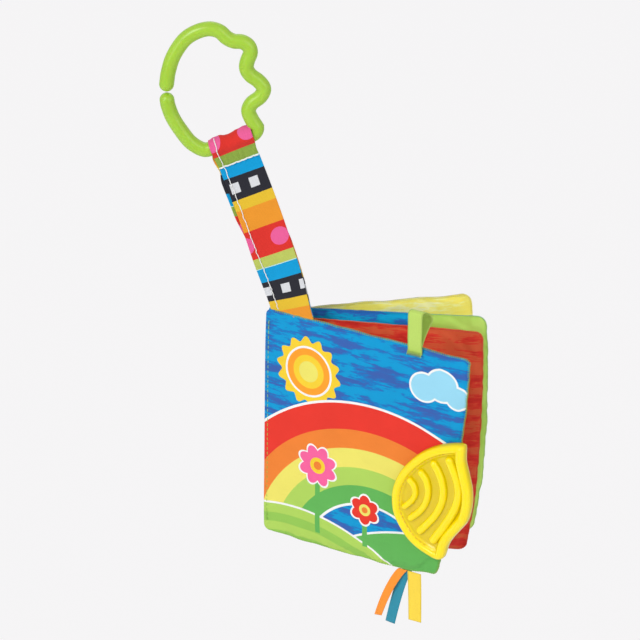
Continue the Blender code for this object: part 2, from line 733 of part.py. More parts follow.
# Strap and book frames, each on its joint's axis
strap_hinge = empty("strap_hinge", None, RING_SEAT)
strap(strap_hinge)
strap_seams(strap_hinge)

strap_end = RING_SEAT + strap_frame(STRAP_LENGTH)[0]
cover_level = Vector((math.cos(FRONT_COVER_TURN), -math.sin(FRONT_COVER_TURN), 0.0))
spine_top = strap_end - cover_level * STRAP_SEAT
spine_top.z -= EDGE_THREAD_RADIUS + CLEARANCE
stack_turn = (FRONT_COVER_TURN + BACK_COVER_TURN) / 2
stack_step = Vector((math.sin(stack_turn), math.cos(stack_turn), 0.0)) * LEAF_PITCH
frames = {}
for each in LEAVES:
    place = spine_top + stack_step * each.place - Vector((0.0, 0.0, each.drop))
    frames[each.name] = empty(f"{each.name}_hinge", None, place, -each.turn)
    build_leaf(each, frames[each.name])

cover = frames["front_cover"]
spine_seam(cover)

teether_out = -(LEAF_HALF + CLEARANCE)
teether_hinge = empty("teether_hinge", cover, (TEETHER_LEFT, teether_out, TEETHER_TOP))
teether(teether_hinge)

tag_hinge = empty("tag_hinge", cover, (TAG_LEFT, -TAG_SEAT, -TAG_TACK_DROP))
tag_loop(tag_hinge)
tag_tack(tag_hinge)

tail_hinge = empty("tail_hinge", cover, (0.0, 0.0, -LEAF_HEIGHT))
layer = (TAIL_PLY + CLEARANCE) / 2
tail_ribbon("yellow_tail", tail_hinge, YELLOW_TAIL_LEFT, YELLOW_TAIL_DRIFT, -layer, 1.0, 1.0,
            0.0, YELLOW)
tail_ribbon("orange_tail", tail_hinge, ORANGE_TAIL_LEFT, ORANGE_TAIL_DRIFT, -layer,
            ORANGE_TAIL_NARROW_SHARE, ORANGE_TAIL_LENGTH_SHARE, TAIL_BELLY, ORANGE)
tail_ribbon("teal_tail", tail_hinge, TEAL_TAIL_LEFT, TEAL_TAIL_DRIFT, layer,
            TEAL_TAIL_NARROW_SHARE, TEAL_TAIL_LENGTH_SHARE, 0.0, TEAL)
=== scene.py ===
"""Crinkle cloth book on a link ring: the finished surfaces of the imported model.

Metres, +Z up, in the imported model's own frame. Each leaf is made in a frame of its own: X from
the spine to the fore edge, Y from its front page to its back page, Z up from its top edge.
"""

import math
from bisect import bisect_left
from typing import NamedTuple

import bmesh
import bpy
from mathutils import Matrix, Vector, noise
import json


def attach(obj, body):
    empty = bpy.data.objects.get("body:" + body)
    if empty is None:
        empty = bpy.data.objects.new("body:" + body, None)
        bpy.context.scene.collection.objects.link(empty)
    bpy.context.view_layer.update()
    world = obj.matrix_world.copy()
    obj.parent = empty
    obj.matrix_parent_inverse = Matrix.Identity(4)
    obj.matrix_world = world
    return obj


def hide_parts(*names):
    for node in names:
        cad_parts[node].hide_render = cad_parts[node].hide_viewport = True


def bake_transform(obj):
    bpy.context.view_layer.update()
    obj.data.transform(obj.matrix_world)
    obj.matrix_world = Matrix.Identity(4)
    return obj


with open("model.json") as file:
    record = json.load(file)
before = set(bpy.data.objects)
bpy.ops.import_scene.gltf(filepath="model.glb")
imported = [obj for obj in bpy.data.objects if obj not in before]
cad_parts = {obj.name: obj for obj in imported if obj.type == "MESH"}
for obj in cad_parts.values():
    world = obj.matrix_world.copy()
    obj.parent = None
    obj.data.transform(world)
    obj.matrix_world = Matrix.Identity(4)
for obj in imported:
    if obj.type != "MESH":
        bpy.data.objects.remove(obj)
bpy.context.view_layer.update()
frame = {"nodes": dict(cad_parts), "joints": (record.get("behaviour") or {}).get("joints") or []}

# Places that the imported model's joints give
PIVOTS = {joint["name"]: Vector(joint["pos_m"]) for joint in frame["joints"]}

# Link ring
RING_TUBE_RADIUS = 0.0036
RING_WIDTH = 0.0490
RING_HEIGHT = 0.0645
RING_GAP = 0.0012
RING_TURN_RADIUS = 0.0045
RING_SEAT_RUN = 0.0214
RING_UPPER_SHARES = [
    (-0.415, -0.350), (-0.361, -0.224), (-0.255, -0.098), (-0.136, -0.031), (0.0, 0.0),
    (0.109, -0.019), (0.185, -0.072), (0.258, -0.100), (0.341, -0.106), (0.404, -0.139),
    (0.424, -0.194), (0.392, -0.263), (0.382, -0.323), (0.422, -0.379), (0.505, -0.429),
    (0.556, -0.491), (0.520, -0.557), (0.431, -0.613), (0.397, -0.677), (0.430, -0.749),
]
RING_LOWER_SHARES = [
    (-0.080, -1.0), (-0.201, -0.942), (-0.298, -0.844), (-0.382, -0.733), (-0.426, -0.635),
]
RING_END_SHARES = (-0.437, -0.453)
RING_STRAIGHT_SHARES = (0.17, -0.17, -0.5)

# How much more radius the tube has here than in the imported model
RING_SKIN = 0.00015

# Strap
STRAP_WIDTH = 0.0220
STRAP_LENGTH = 0.0987
STRAP_PLY = 0.0006
STRAP_GAP = 0.0003
STRAP_SEAM_DROP = 0.0112
STRAP_TUCK = 0.0032
STRAP_RING_PLAY = 0.0004
STRAP_LEANS = [math.radians(angle) for angle in (20.0, 19.2, 17.8, 19.4, 16.3)]
STRAP_TWIST_SHARES = (0.415, 1.0)
STRAP_EDGE_SEAM_INSET = 0.0028
STRAP_EDGE_SEAM_BEYOND = 0.0014
STRAP_COLUMNS = 66
CROSS_SEAM_STEPS = 60
RIBBON_THICKNESS = 0.0004
RIBBON_COLUMNS = 8

# Leaves
LEAF_HEIGHT = 0.1325
LEAF_HALF = 0.00145
LEAF_CROWN_REACH = 0.018
EDGE_INSET = 0.0002
FOOT_DROP = 0.0018
CLOTH_THICKNESS = 0.00045
BAG_COLUMNS = 70
BAG_ROWS = 80

# How far from the spine the edge's thread starts, and the steps of its fore edge and corners
EDGE_START = 0.004
EDGE_STEPS = 24
CORNER_STEPS = 6

# The topstitch of the spine: how far below the top it starts, its run and its steps
SPINE_SEAM_TOP = 0.006
SPINE_SEAM_RUN = 0.1205
SPINE_SEAM_STEPS = 60

# How far the spine side stands to the right, from the top to the foot, in millimetres
SPINE_SWAY = (2.0, 1.3, 0.8, 0.4, 0.0, -0.5, -0.9)

# How far into a leaf the sway and the spine's shift reach
SPINE_SWAY_REACH = 0.05
SPINE_SHIFT_REACH = 0.0032

# The leaves are swollen at ten times their size, over so many frames
SWELL_SCALE = 10.0
SWELL_FRAMES = 20


class Leaf(NamedTuple):
    """One padded leaf: its body and spine joint, its size and how far it is turned. Its top
    sags by top_sag, and its foot rises by drop at the spine, by fore_lift at the fore edge and
    by foot_curl at the fore edge's corner alone. Its spine is shifted by spine_shift towards
    the back, or forward where that is less than zero."""

    body: str
    pivot: str
    width: float
    turn: float
    corner: float
    spine_corners: tuple
    fore_shares: tuple
    front: str
    back: str
    seed: float
    drop: float = 0.0
    fore_lift: float = 0.0
    foot_curl: float = 0.0
    top_sag: float = 0.0
    spine_shift: float = 0.0


FRONT_COVER = Leaf(
    "front_cover", "book_swing", width=0.1210, turn=math.radians(30.5), corner=0.0030,
    spine_corners=(0.0042, 0.0042), fore_shares=(1.0, 0.985, 0.955, 0.915, 0.865),
    front="outer_panel", back="inner_panel", seed=1.0, foot_curl=0.0024)
RED_LEAF = Leaf(
    "red_leaf", "red_leaf_turn", width=0.1150, turn=math.radians(10.5), corner=0.0045,
    spine_corners=(0.002, 0.0055), fore_shares=(0.995, 1.0, 0.995, 0.980, 0.940),
    front="front_panel", back="back_panel", seed=2.0, drop=0.0045, fore_lift=-0.0008,
    top_sag=0.0013, spine_shift=-0.0012)
BLUE_LEAF = Leaf(
    "blue_leaf", "blue_leaf_turn", width=0.1166, turn=math.radians(6.7), corner=0.0045,
    spine_corners=(0.002, 0.0055), fore_shares=(0.985, 1.0, 1.0, 0.990, 0.950),
    front="front_panel", back="back_panel", seed=3.0, drop=0.0025, fore_lift=0.0045,
    spine_shift=-0.0010)
BACK_COVER = Leaf(
    "back_cover", "back_cover_turn", width=0.1113, turn=math.radians(-10.4), corner=0.0060,
    spine_corners=(0.002, 0.0055), fore_shares=(0.985, 1.0, 1.0, 0.990, 0.950),
    front="inner_panel", back="outer_panel", seed=4.0, drop=0.0060, top_sag=0.0005,
    spine_shift=-0.0019)


# Curves and eases

def ease(value):
    """Smooth step from 0 to 1."""
    value = min(max(value, 0.0), 1.0)
    return value * value * (3 - 2 * value)


def smooth_path(points, steps):
    """Points on a smooth curve through the given ones."""
    path = []
    ends = [points[0] * 2 - points[1]] + list(points) + [points[-1] * 2 - points[-2]]
    for a, b, c, d in zip(ends, ends[1:], ends[2:], ends[3:]):
        for step in range(steps):
            t = step / steps
            path.append(0.5 * ((2 * b) + (c - a) * t + (2 * a - 5 * b + 4 * c - d) * t * t
                               + (3 * b - a - 3 * c + d) * t * t * t))
    path.append(points[-1])
    return path


def lengths_along(points):
    """The length of a line of points up to each of them."""
    lengths = [0.0]
    for before, after in zip(points, points[1:]):
        lengths.append(lengths[-1] + (after - before).length)
    return lengths


def stretch_at(lengths, goal):
    """Which stretch of a line a length falls in, and at what share of it."""
    index = min(max(bisect_left(lengths, goal) - 1, 0), len(lengths) - 2)
    return index, (goal - lengths[index]) / max(lengths[index + 1] - lengths[index], 1e-9)


def even_path(points, spacing):
    """Points at even distances along a line of points."""
    lengths = lengths_along(points)
    count = max(2, round(lengths[-1] / spacing))
    path = []
    for step in range(count + 1):
        index, share = stretch_at(lengths, lengths[-1] * step / count)
        path.append(points[index].lerp(points[index + 1], share))
    return path


def value_at(values, share, soft=False):
    """The value at a share of the way through evenly spaced ones."""
    place = min(max(share, 0.0), 1.0) * (len(values) - 1)
    index = min(int(place), len(values) - 2)
    low, high = values[index:index + 2]
    step = place - index
    return low + (high - low) * (ease(step) if soft else step)


def look_up(table, place, soft=False):
    """The value at a place in a table of places and values."""
    for (first, low), (last, high) in zip(table, table[1:]):
        if place <= last:
            share = (place - first) / (last - first)
            return low + (high - low) * (ease(share) if soft else share)
    return table[-1][1]


# Materials

class Socket:
    """A node's output. Python sums on it add Math nodes."""

    def __init__(self, finish, link):
        self.finish = finish
        self.link = link

    def sum(self, operation, *values):
        return self.finish.node("ShaderNodeMath", {"operation": operation},
                                dict(enumerate((self, *values))))

    def __add__(self, other):
        return self.sum("ADD", other)

    def __sub__(self, other):
        return self.sum("SUBTRACT", other)

    def __rsub__(self, other):
        return self.finish.node("ShaderNodeMath", {"operation": "SUBTRACT"}, {0: other, 1: self})

    def __mul__(self, other):
        return self.sum("MULTIPLY", other)

    def __truediv__(self, other):
        return self.sum("DIVIDE", other)

    def __lt__(self, other):
        return self.sum("LESS_THAN", other)

    def __gt__(self, other):
        return self.sum("GREATER_THAN", other)

    def __mod__(self, other):
        return self.sum("FLOORED_MODULO", other)

    def __abs__(self):
        return self.sum("ABSOLUTE")

    __radd__ = __add__
    __rmul__ = __mul__

    def sine(self):
        return self.sum("SINE")

    def least(self, other):
        return self.sum("MINIMUM", other)


class Finish:
    """A material: its Principled shader and whatever nodes feed it."""

    def __init__(self, name, **values):
        self.material = bpy.data.materials.new(name)
        self.material.use_nodes = True
        self.tree = self.material.node_tree
        self.shader = self.tree.nodes["Principled BSDF"]
        for key, value in values.items():
            self.feed(key.replace("_", " ").title().replace("Ior", "IOR"), value)

    def feed(self, name, value):
        """Give one of the shader's sockets a value or a link."""
        self.put(self.shader.inputs[name], value)

    def put(self, socket, value):
        if isinstance(value, Socket):
            self.tree.links.new(value.link, socket)
        else:
            socket.default_value = value

    def node(self, kind, settings, values, output=0):
        """Any other node: its settings first, then what goes into its sockets."""
        made = self.tree.nodes.new(kind)
        for key, value in settings.items():
            setattr(made, key, value)
        for key, value in values.items():
            self.put(made.inputs[key], value)
        return Socket(self, made.outputs[output])

    def flat(self):
        """The cloth's own UV map, in millimetres across and down."""
        place = self.node("ShaderNodeUVMap", {"uv_map": "cloth"}, {})
        return (self.node("ShaderNodeSeparateXYZ", {}, {0: place}, 0) * 1000,
                self.node("ShaderNodeSeparateXYZ", {}, {0: place}, 1) * 1000)

    def here(self, output=None):
        """Object coordinates in metres, or one of them."""
        place = self.node("ShaderNodeTexCoord", {}, {}, "Object")
        if output is None:
            return place
        return self.node("ShaderNodeSeparateXYZ", {}, {0: place}, output)

    def point(self, x, y, z=0.0):
        return self.node("ShaderNodeCombineXYZ", {}, {0: x, 1: y, 2: z})

    def distance(self, place, centre):
        return self.node("ShaderNodeVectorMath", {"operation": "DISTANCE"},
                         {0: place, 1: centre}, "Value")

    def mix(self, mask, under, over):
        """One colour over another where the mask is 1."""
        return self.node("ShaderNodeMix", {"data_type": "RGBA"}, {0: mask, 6: under, 7: over}, 2)

    def grain(self, place, scale, detail=2.0, roughness=0.5):
        """Noise from 0 to 1."""
        return self.node("ShaderNodeTexNoise", {},
                         {"Vector": place, "Scale": scale, "Detail": detail,
                          "Roughness": roughness})

    def ramp(self, value, stops, between="LINEAR"):
        """The colour that a value from 0 to 1 has among stops."""
        made = self.node("ShaderNodeValToRGB", {}, {0: value})
        ramp = made.link.node.color_ramp
        ramp.interpolation = between
        while len(ramp.elements) < len(stops):
            ramp.elements.new(0.5)
        for element, (place, colour) in zip(ramp.elements, stops):
            element.position = place
            element.color = colour
        return made

    def shade(self, colour, value):
        """Feed the base colour, made lighter or darker by a value."""
        self.feed("Base Color", self.node(
            "ShaderNodeHueSaturation", {}, {"Value": value, "Color": colour}))

    def relief(self, height, depth, strength=1.0, under=None):
        """Raise the surface by a height from 0 to 1, depth metres in all."""
        values = {"Height": height, "Distance": depth, "Strength": strength}
        if under is not None:
            values["Normal"] = under
        return self.node("ShaderNodeBump", {}, values)


def paint(red, green, blue):
    """A shader colour from a printed one, 0 to 255."""
    shares = [part / 255 for part in (red, green, blue)]
    return (*[part / 12.92 if part <= 0.04045 else ((part + 0.055) / 1.055) ** 2.4
              for part in shares], 1.0)


CYAN = paint(4, 150, 206)
PALE_BLUE = paint(150, 212, 236)
RED = paint(226, 54, 42)
ORANGE = paint(234, 128, 50)
WARM_ORANGE = paint(250, 158, 44)
YELLOW = paint(240, 204, 52)
LEMON = paint(232, 222, 104)
LEAF_GREEN = paint(96, 176, 86)
LIME_GREEN = paint(172, 208, 92)
TAG_GREEN = paint(182, 212, 96)
PINK = paint(240, 98, 154)
WHITE = paint(238, 238, 236)
BLACK = paint(38, 38, 46)
CLEAR = paint(235, 240, 242)


def mottle(finish, x, y, tones, seed):
    """Brushed ground: ragged strokes of up to four tones, longer across than down."""
    strokes = finish.grain(finish.point(x * 0.034 + seed, y * 0.165), 1.0, 6.0, 0.66)
    rags = finish.grain(finish.point(x * 0.22 + seed, y * 0.95), 1.0, 4.0, 0.65)
    mixed = strokes * 0.78 + rags * 0.22
    places = (0.36, 0.465, 0.475, 0.505, 0.515, 0.68)
    order = (tones[0], tones[1], tones[2], tones[2], tones[3], tones[3])
    return finish.ramp(mixed, list(zip(places, order)))


def dress_cloth(finish, colour, x, y, pitch=0.72, crease=0.0):
    """Twill weave, a fine speckle and, on a crinkly leaf, soft creases."""
    place = finish.point(x, y)
    twill = ((x * 0.9 + y * 0.62) * (2 * math.pi / pitch)).sine() * 0.5 + 0.5
    cross = ((x * 0.55 - y) * (2 * math.pi / pitch)).sine() * 0.5 + 0.5
    speckle = finish.grain(place, 2.2, 2.0, 0.7)
    worn = finish.grain(place, 0.06, 3.0, 0.55)
    value = 0.76 + speckle * 0.24 + worn * 0.14 + twill * 0.08 + cross * 0.03
    finish.shade(colour, value)
    finish.feed("Roughness", 0.68 + speckle * 0.2)
    normal = None
    if crease:
        folds = finish.grain(finish.point(x * 0.07, y * 0.10), 1.0, 3.0, 0.5)
        normal = finish.relief(abs(folds - 0.5) * 2.0, crease, 0.8)
    threads = twill * 0.6 + cross * 0.2 + speckle * 0.2
    finish.feed("Normal", finish.relief(threads, 0.00007, 0.9, normal))
    return finish.material


def cloth_finish(name):
    """A printed polyester cloth with a soft sheen."""
    return Finish(name, sheen_weight=0.05, sheen_roughness=0.5, specular_ior_level=0.16)


def ground_cloth(name, tones, seed, crease=0.0):
    """A page that shows only its brushed ground."""
    finish = cloth_finish(name)
    x, y = finish.flat()
    return dress_cloth(finish, mottle(finish, x, y, tones, seed), x, y, crease=crease)


BLUE_GROUND = (paint(58, 92, 168), paint(50, 98, 174), paint(22, 118, 190), CYAN)
BRIGHT_GROUND = (paint(44, 100, 190), paint(34, 112, 196), paint(0, 158, 212),
                 paint(0, 168, 222))
RED_GROUND = (paint(192, 42, 36), paint(210, 50, 40), paint(213, 64, 44), paint(210, 90, 54))
ORANGE_GROUND = (RED, ORANGE, ORANGE, WARM_ORANGE)
YELLOW_GROUND = (paint(254, 236, 96), paint(255, 240, 112), paint(255, 245, 140),
                 paint(255, 248, 172))


def cover_cloth():
    """The front cover's picture: a rainbow over hills, a sun, a cloud and flowers."""
    finish = cloth_finish("printed_cover_cloth")
    x, y = finish.flat()
    place = finish.point(x, y)
    picture = mottle(finish, x, y, BLUE_GROUND, 3.0)

    def layer(mask, colour):
        nonlocal picture
        picture = finish.mix(mask, picture, colour)

    def away_from(across, down):
        return finish.distance(place, (across, down, 0.0))

    def bearing(across, down):
        return finish.node("ShaderNodeMath", {"operation": "ARCTAN2"},
                           {0: y - down, 1: x - across})

    sun = away_from(27.0, 30.0)
    rays = ((bearing(27.0, 30.0) * 14.0).sine() * 1.5 + 18.6) > sun
    layer(rays, YELLOW)
    layer(sun < 14.6, WHITE)
    layer(sun < 13.4, WARM_ORANGE)
    layer(sun < 9.6, YELLOW)
    layer(sun < 6.0, LEMON)

    arch = away_from(66.0, 138.0)
    bands = finish.ramp(arch / 100.0, [
        (0.0, LEAF_GREEN), (0.50, LIME_GREEN), (0.60, LEMON), (0.71, ORANGE), (0.82, RED)],
        "CONSTANT")
    layer((arch < 98.4) * (arch > 38.6), WHITE)
    layer((arch < 97.0) * (arch > 40.0), bands)

    far_hill = away_from(104.0, 214.0)
    layer(far_hill < 107.2, WHITE)
    layer(far_hill < 106.0, LEAF_GREEN)
    near_hill = away_from(20.0, 206.0)
    layer(near_hill < 94.2, WHITE)
    furrow = ((near_hill - 60.0) * (2 * math.pi / 11.0)).sine() > 0.0
    layer(near_hill < 93.0, LIME_GREEN)
    layer((near_hill < 93.0) * furrow, paint(146, 196, 84))

    for across, down, petals, size, petal, heart in (
            (33.0, 84.0, 4.0, 11.0, PINK, YELLOW), (62.0, 102.0, 3.0, 8.0, RED, LEMON)):
        stem = abs(x - across) < 1.5
        layer(stem * (y > down) * (y < 124.0), LEAF_GREEN)
        away = away_from(across, down)
        edge = abs((bearing(across, down) * petals).sine()) * (size * 0.28) + size * 0.78
        layer(away < edge + 1.1, WHITE)
        layer(away < edge, petal)
        layer(away < size * 0.42, heart)
        layer(away < size * 0.22, ORANGE)

    puffs = away_from(96.0, 21.0) - 7.5
    puffs = puffs.least(away_from(106.0, 18.0) - 8.5)
    puffs = puffs.least(away_from(114.5, 23.0) - 6.0)
    layer(puffs < 1.1, WHITE)
    layer(puffs < 0.0, PALE_BLUE)
    return dress_cloth(finish, picture, x, y, crease=0.0004)


def half_green_cloth():
    """The blue leaf's front page: brushed blue by the spine, light green by the fore edge."""
    finish = cloth_finish("blue_and_green_cloth")
    x, y = finish.flat()
    ground = mottle(finish, x, y, BRIGHT_GROUND, 9.0)
    shore = (y * 0.11).sine() * 5.0 + 80.0
    ground = finish.mix(x > shore - 1.2, ground, WHITE)
    soft = finish.grain(finish.point(x * 0.05, y * 0.05), 1.0, 3.0)
    green = finish.ramp(soft, [(0.35, paint(170, 216, 92)), (0.65, paint(188, 226, 110))])
    ground = finish.mix(x > shore, ground, green)
    return dress_cloth(finish, ground, x, y)


def strap_cloth():
    """The strap's print along its length: stripes, white squares on black, dots on red."""
    finish = cloth_finish("printed_strap_cloth")
    side, run = finish.flat()
    period = 60.0
    along = (run - 5.2) % period
    stripes = finish.ramp(along / period, [
        (0.0, paint(146, 176, 64)), (5.7 / period, paint(186, 220, 210)),
        (6.3 / period, CYAN), (13.9 / period, BLACK), (25.5 / period, paint(222, 184, 48)),
        (31.2 / period, paint(228, 146, 42)), (43.8 / period, paint(212, 48, 40))], "CONSTANT")
    pale = finish.mix(run > 40.0, paint(138, 166, 66), paint(180, 192, 92))
    stripes = finish.mix(along < 5.7, stripes, pale)
    shift = (run - 24.0) * 0.05
    in_black = (along > 17.1) * (along < 22.1)
    square = abs((side + shift + 1.7) % 10.5 - 5.25) < 2.45
    stripes = finish.mix(in_black * square, stripes, paint(208, 210, 214))
    dots = finish.distance(
        finish.point((side + shift + 1.4) % 18.7, along), (9.35, 51.6, 0.0))
    stripes = finish.mix(dots < 4.9, stripes, paint(226, 92, 148))
    return dress_cloth(finish, stripes, side, run, pitch=0.8, crease=0.0003)


def ribbon_cloth(name, colour, shine):
    """A narrow woven ribbon with ribs across it."""
    finish = Finish(name, sheen_weight=0.1, specular_ior_level=0.4)
    side, run = finish.flat()
    ribs = (run * (2 * math.pi / 0.7)).sine() * 0.5 + 0.5
    speckle = finish.grain(finish.point(side * 0.6, run), 1.6, 2.0)
    edge = abs(side) > 3.3
    value = 0.90 + speckle * 0.16 + ribs * 0.05 - edge * 0.08
    finish.shade(colour, value)
    finish.feed("Roughness", 0.62 - shine * 0.25 + speckle * 0.15)
    finish.feed("Normal", finish.relief(ribs * 0.7 + speckle * 0.3, 0.00008, 0.8))
    return finish.material


def thread_finish(name, colour, spine_colour=None):
    """Spun thread: a fine twist and a little fuzz. Its colour may change near the spine."""
    finish = Finish(name, sheen_weight=0.2, specular_ior_level=0.3)
    place = finish.here()
    if spine_colour:
        colour = finish.mix(finish.here(0) > 0.107, spine_colour, colour)
    fuzz = finish.grain(place, 2600.0, 2.0)
    finish.shade(colour, 0.80 + fuzz * 0.36)
    finish.feed("Roughness", 0.6 + fuzz * 0.25)
    finish.feed("Normal", finish.relief(fuzz, 0.00010, 0.7))
    return finish.material


def ring_plastic():
    """Satin moulded plastic with a faint parting line round the ring."""
    finish = Finish("lime_ring_plastic", subsurface_weight=0.12, subsurface_scale=0.004,
                    specular_ior_level=0.5)
    depth = finish.here(1)
    place = finish.here()
    cloud = finish.grain(place, 60.0, 3.0)
    finish.feed("Base Color", finish.ramp(cloud, [
        (0.3, paint(154, 196, 44)), (0.7, paint(162, 203, 54))]))
    finish.feed("Roughness", 0.28 + finish.grain(place, 900.0, 2.0) * 0.10)
    line = abs(depth) < 0.00012
    finish.feed("Normal", finish.relief(line, 0.00010, 0.6))
    return finish.material


def teether_plastic():
    """Glossy soft plastic, a little see-through at its edges. Its colour has painted shade:
    darker the lower the surface lies in the sunk field, lighter on the rim and ribs.
    """
    finish = Finish("yellow_teether_plastic", subsurface_weight=0.12, subsurface_scale=0.003,
                    specular_ior_level=0.3, coat_weight=0.4, coat_roughness=0.25)
    place = finish.here()
    rise = finish.node("ShaderNodeAttribute", {"attribute_name": "rise"}, {}, "Fac")
    # Painted shade: the colour runs from a darker yellow on the sunk field up to a lighter one on
    # the rim and ribs, by their height.
    finish.feed("Base Color", finish.ramp(rise, [
        (0.0, paint(226, 200, 0)), (0.6, paint(254, 228, 0))]))
    finish.feed("Roughness", 0.10 + finish.grain(place, 320.0, 2.0) * 0.08)
    finish.feed("Normal", finish.relief(finish.grain(place, 90.0, 2.0), 0.0002, 0.35))
    return finish.material


def filling_finish(name, tone, scale, detail, fineness, roughness, spread, depth, **values):
    """What lies inside the leaves: fine folds or fibres, from one tone to white."""
    finish = Finish(name, **values)
    grain = finish.grain(finish.here(), scale, detail, fineness)
    finish.feed("Base Color", finish.ramp(grain, [(0.3, tone), (0.7, WHITE)]))
    finish.feed("Roughness", roughness + grain * spread)
    finish.feed("Normal", finish.relief(grain, depth))
    return finish.material


def film_finish():
    """The crinkly film inside the covers. It is almost clear, because it still comes through
    their inner cloths in three small spots."""
    return filling_finish("crinkle_film", CLEAR, 160.0, 4.0, 0.6, 0.18, 0.2, 0.0006,
                          specular_ior_level=0.1, alpha=0.06)


def wadding_finish():
    """The soft fibre sheet inside the two middle leaves."""
    return filling_finish("wadding_fibre", paint(222, 222, 218), 700.0, 5.0, 0.7, 0.85, 0.1,
                          0.0004, sheen_weight=0.3)


# Making pieces

def placed(name, data):
    """A new object in the scene."""
    made = bpy.data.objects.new(name, data)
    bpy.context.scene.collection.objects.link(made)
    return made


def piece(name, mesh, material, body, *nodes):
    """A finished piece that stands for CAD nodes. It rides on a body, unless it has none and its
    place is baked into its mesh afterwards."""
    made = placed(name, mesh)
    made.data.materials.append(material)
    if made.type == "MESH":
        made.data.shade_smooth()
    if body:
        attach(made, body)
    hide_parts(*nodes)
    return made


def grid_mesh(columns, rows, place, flat):
    """A sheet of cloth: a grid whose points are moved to their places and mapped flat."""
    sheet = bmesh.new()
    bmesh.ops.create_grid(sheet, x_segments=columns, y_segments=rows, size=0.5)
    across, down = {}, {}
    for vert in sheet.verts:
        across[vert] = round((vert.co.x + 0.5) * columns)
        down[vert] = round((0.5 - vert.co.y) * rows)
    lay = sheet.loops.layers.uv.new("cloth")
    for face in sheet.faces:
        for loop in face.loops:
            loop[lay].uv = flat(across[loop.vert], down[loop.vert])
    for vert in sheet.verts:
        vert.co = place(across[vert], down[vert])
    sheet.normal_update()
    return sheet


def finished_mesh(name, shape):
    """The mesh of a bmesh, which is freed."""
    mesh = bpy.data.meshes.new(name)
    shape.to_mesh(mesh)
    shape.free()
    return mesh


def thicken(shape, thickness):
    """Give a sheet a thickness, with its faces turned outwards."""
    bmesh.ops.solidify(shape, geom=shape.faces[:], thickness=thickness)
    bmesh.ops.recalc_face_normals(shape, faces=shape.faces[:])


def extrude_ring(shape, edges, marks, digits):
    """Extrude a ring of edges. Each new point has the mark of the one it came from."""
    made = bmesh.ops.extrude_edge_only(shape, edges=edges)["geom"]

    def spot(vert):
        return tuple(round(part, digits) for part in vert.co)

    old = {spot(vert): mark for vert, mark in marks.items()}
    fresh = [item for item in made if isinstance(item, bmesh.types.BMVert)]
    edges = [item for item in made if isinstance(item, bmesh.types.BMEdge)]
    return edges, {vert: old[spot(vert)] for vert in fresh}


def unit_ring(shape, sides):
    """A circle's edges, and the angle of each of its points."""
    ring = bmesh.ops.create_circle(shape, segments=sides, radius=1.0)["verts"]
    edges = list({edge for vert in ring for edge in vert.link_edges})
    return edges, {vert: math.atan2(vert.co.y, vert.co.x) for vert in ring}


def line_direction(points, index):
    """The direction of a line of points at one of them."""
    step = points[min(index + 1, len(points) - 1)] - points[max(index - 1, 0)]
    return step.normalized()


def hinge_place(pivot, turn):
    """The frame of something turned about the upright line through a joint."""
    return Matrix.Translation(PIVOTS[pivot]) @ Matrix.Rotation(-turn, 4, "Z")


def close_up(shape, near):
    """Join points that nearly meet, fill what is open and turn the faces outwards."""
    bmesh.ops.remove_doubles(shape, verts=shape.verts[:], dist=near)
    bmesh.ops.holes_fill(shape, edges=shape.edges[:])
    bmesh.ops.recalc_face_normals(shape, faces=shape.faces[:])


def threads(name, lines, radius, sides, material, body, node):
    """A piece of thread along lines of points."""
    curve = bpy.data.curves.new(name, "CURVE")
    curve.dimensions = "3D"
    curve.bevel_depth = radius
    curve.bevel_resolution = sides
    curve.use_fill_caps = True
    for points in lines:
        spline = curve.splines.new("POLY")
        spline.points.add(len(points) - 1)
        for knot, spot in zip(spline.points, points):
            knot.co = (*spot, 1.0)
    piece(name, curve, material, body, node)


def stitches(points, ups, length, gap, radius):
    """Running stitches along a line: each one rises out of the cloth and dips back."""
    reach = lengths_along(points)
    pitch = length + gap
    count = int(reach[-1] / pitch)
    start = (reach[-1] - count * pitch + gap) / 2
    lines = []
    for stitch in range(count):
        line = []
        for step in range(7):
            index, share = stretch_at(reach, start + stitch * pitch + length * step / 6)
            spot = points[index].lerp(points[index + 1], share)
            up = ups[index].lerp(ups[index + 1], share).normalized()
            rise = math.sin(math.pi * step / 6) ** 0.5 * radius * 2.2 - radius * 1.5
            line.append(spot + up * rise)
        lines.append(line)
    return lines


# Link ring

RING_SEAT = PIVOTS["strap_swing"]
SEAT_RUN = Vector((math.cos(STRAP_LEANS[0]), 0.0, math.sin(STRAP_LEANS[0])))


def ring_point(shares):
    """A point of the ring's centre line from its shares of width and height."""
    return Vector((shares[0] * RING_WIDTH, 0.0, RING_TUBE_RADIUS + shares[1] * RING_HEIGHT))


def ring_path():
    """The ring's centre line, from the upper end of the gap to the lower end."""
    run_end = RING_SEAT + SEAT_RUN * (RING_SEAT_RUN / 2)
    inward = Vector((-SEAT_RUN.z, 0.0, SEAT_RUN.x))
    centre = run_end + inward * RING_TURN_RADIUS
    sweep = math.pi / 2 - STRAP_LEANS[0]
    turn = []
    for step in range(9):
        angle = sweep * (1 - step / 8)
        out = SEAT_RUN * math.sin(angle) - inward * math.cos(angle)
        turn.append(centre + out * RING_TURN_RADIUS)
    upper_end = ring_point(RING_END_SHARES)
    lower_end = upper_end - Vector((0.0, 0.0, 2 * RING_TUBE_RADIUS + RING_GAP))
    upper = [upper_end] + [ring_point(shares) for shares in RING_UPPER_SHARES]
    lower = [ring_point(shares) for shares in RING_LOWER_SHARES] + [lower_end]
    straight = [RING_SEAT + SEAT_RUN * (RING_SEAT_RUN * share)
                for share in RING_STRAIGHT_SHARES]
    path = smooth_path(upper + turn[:1], 6)[:-1] + turn
    return path + straight[:-2] + smooth_path(straight[-2:] + lower, 8)


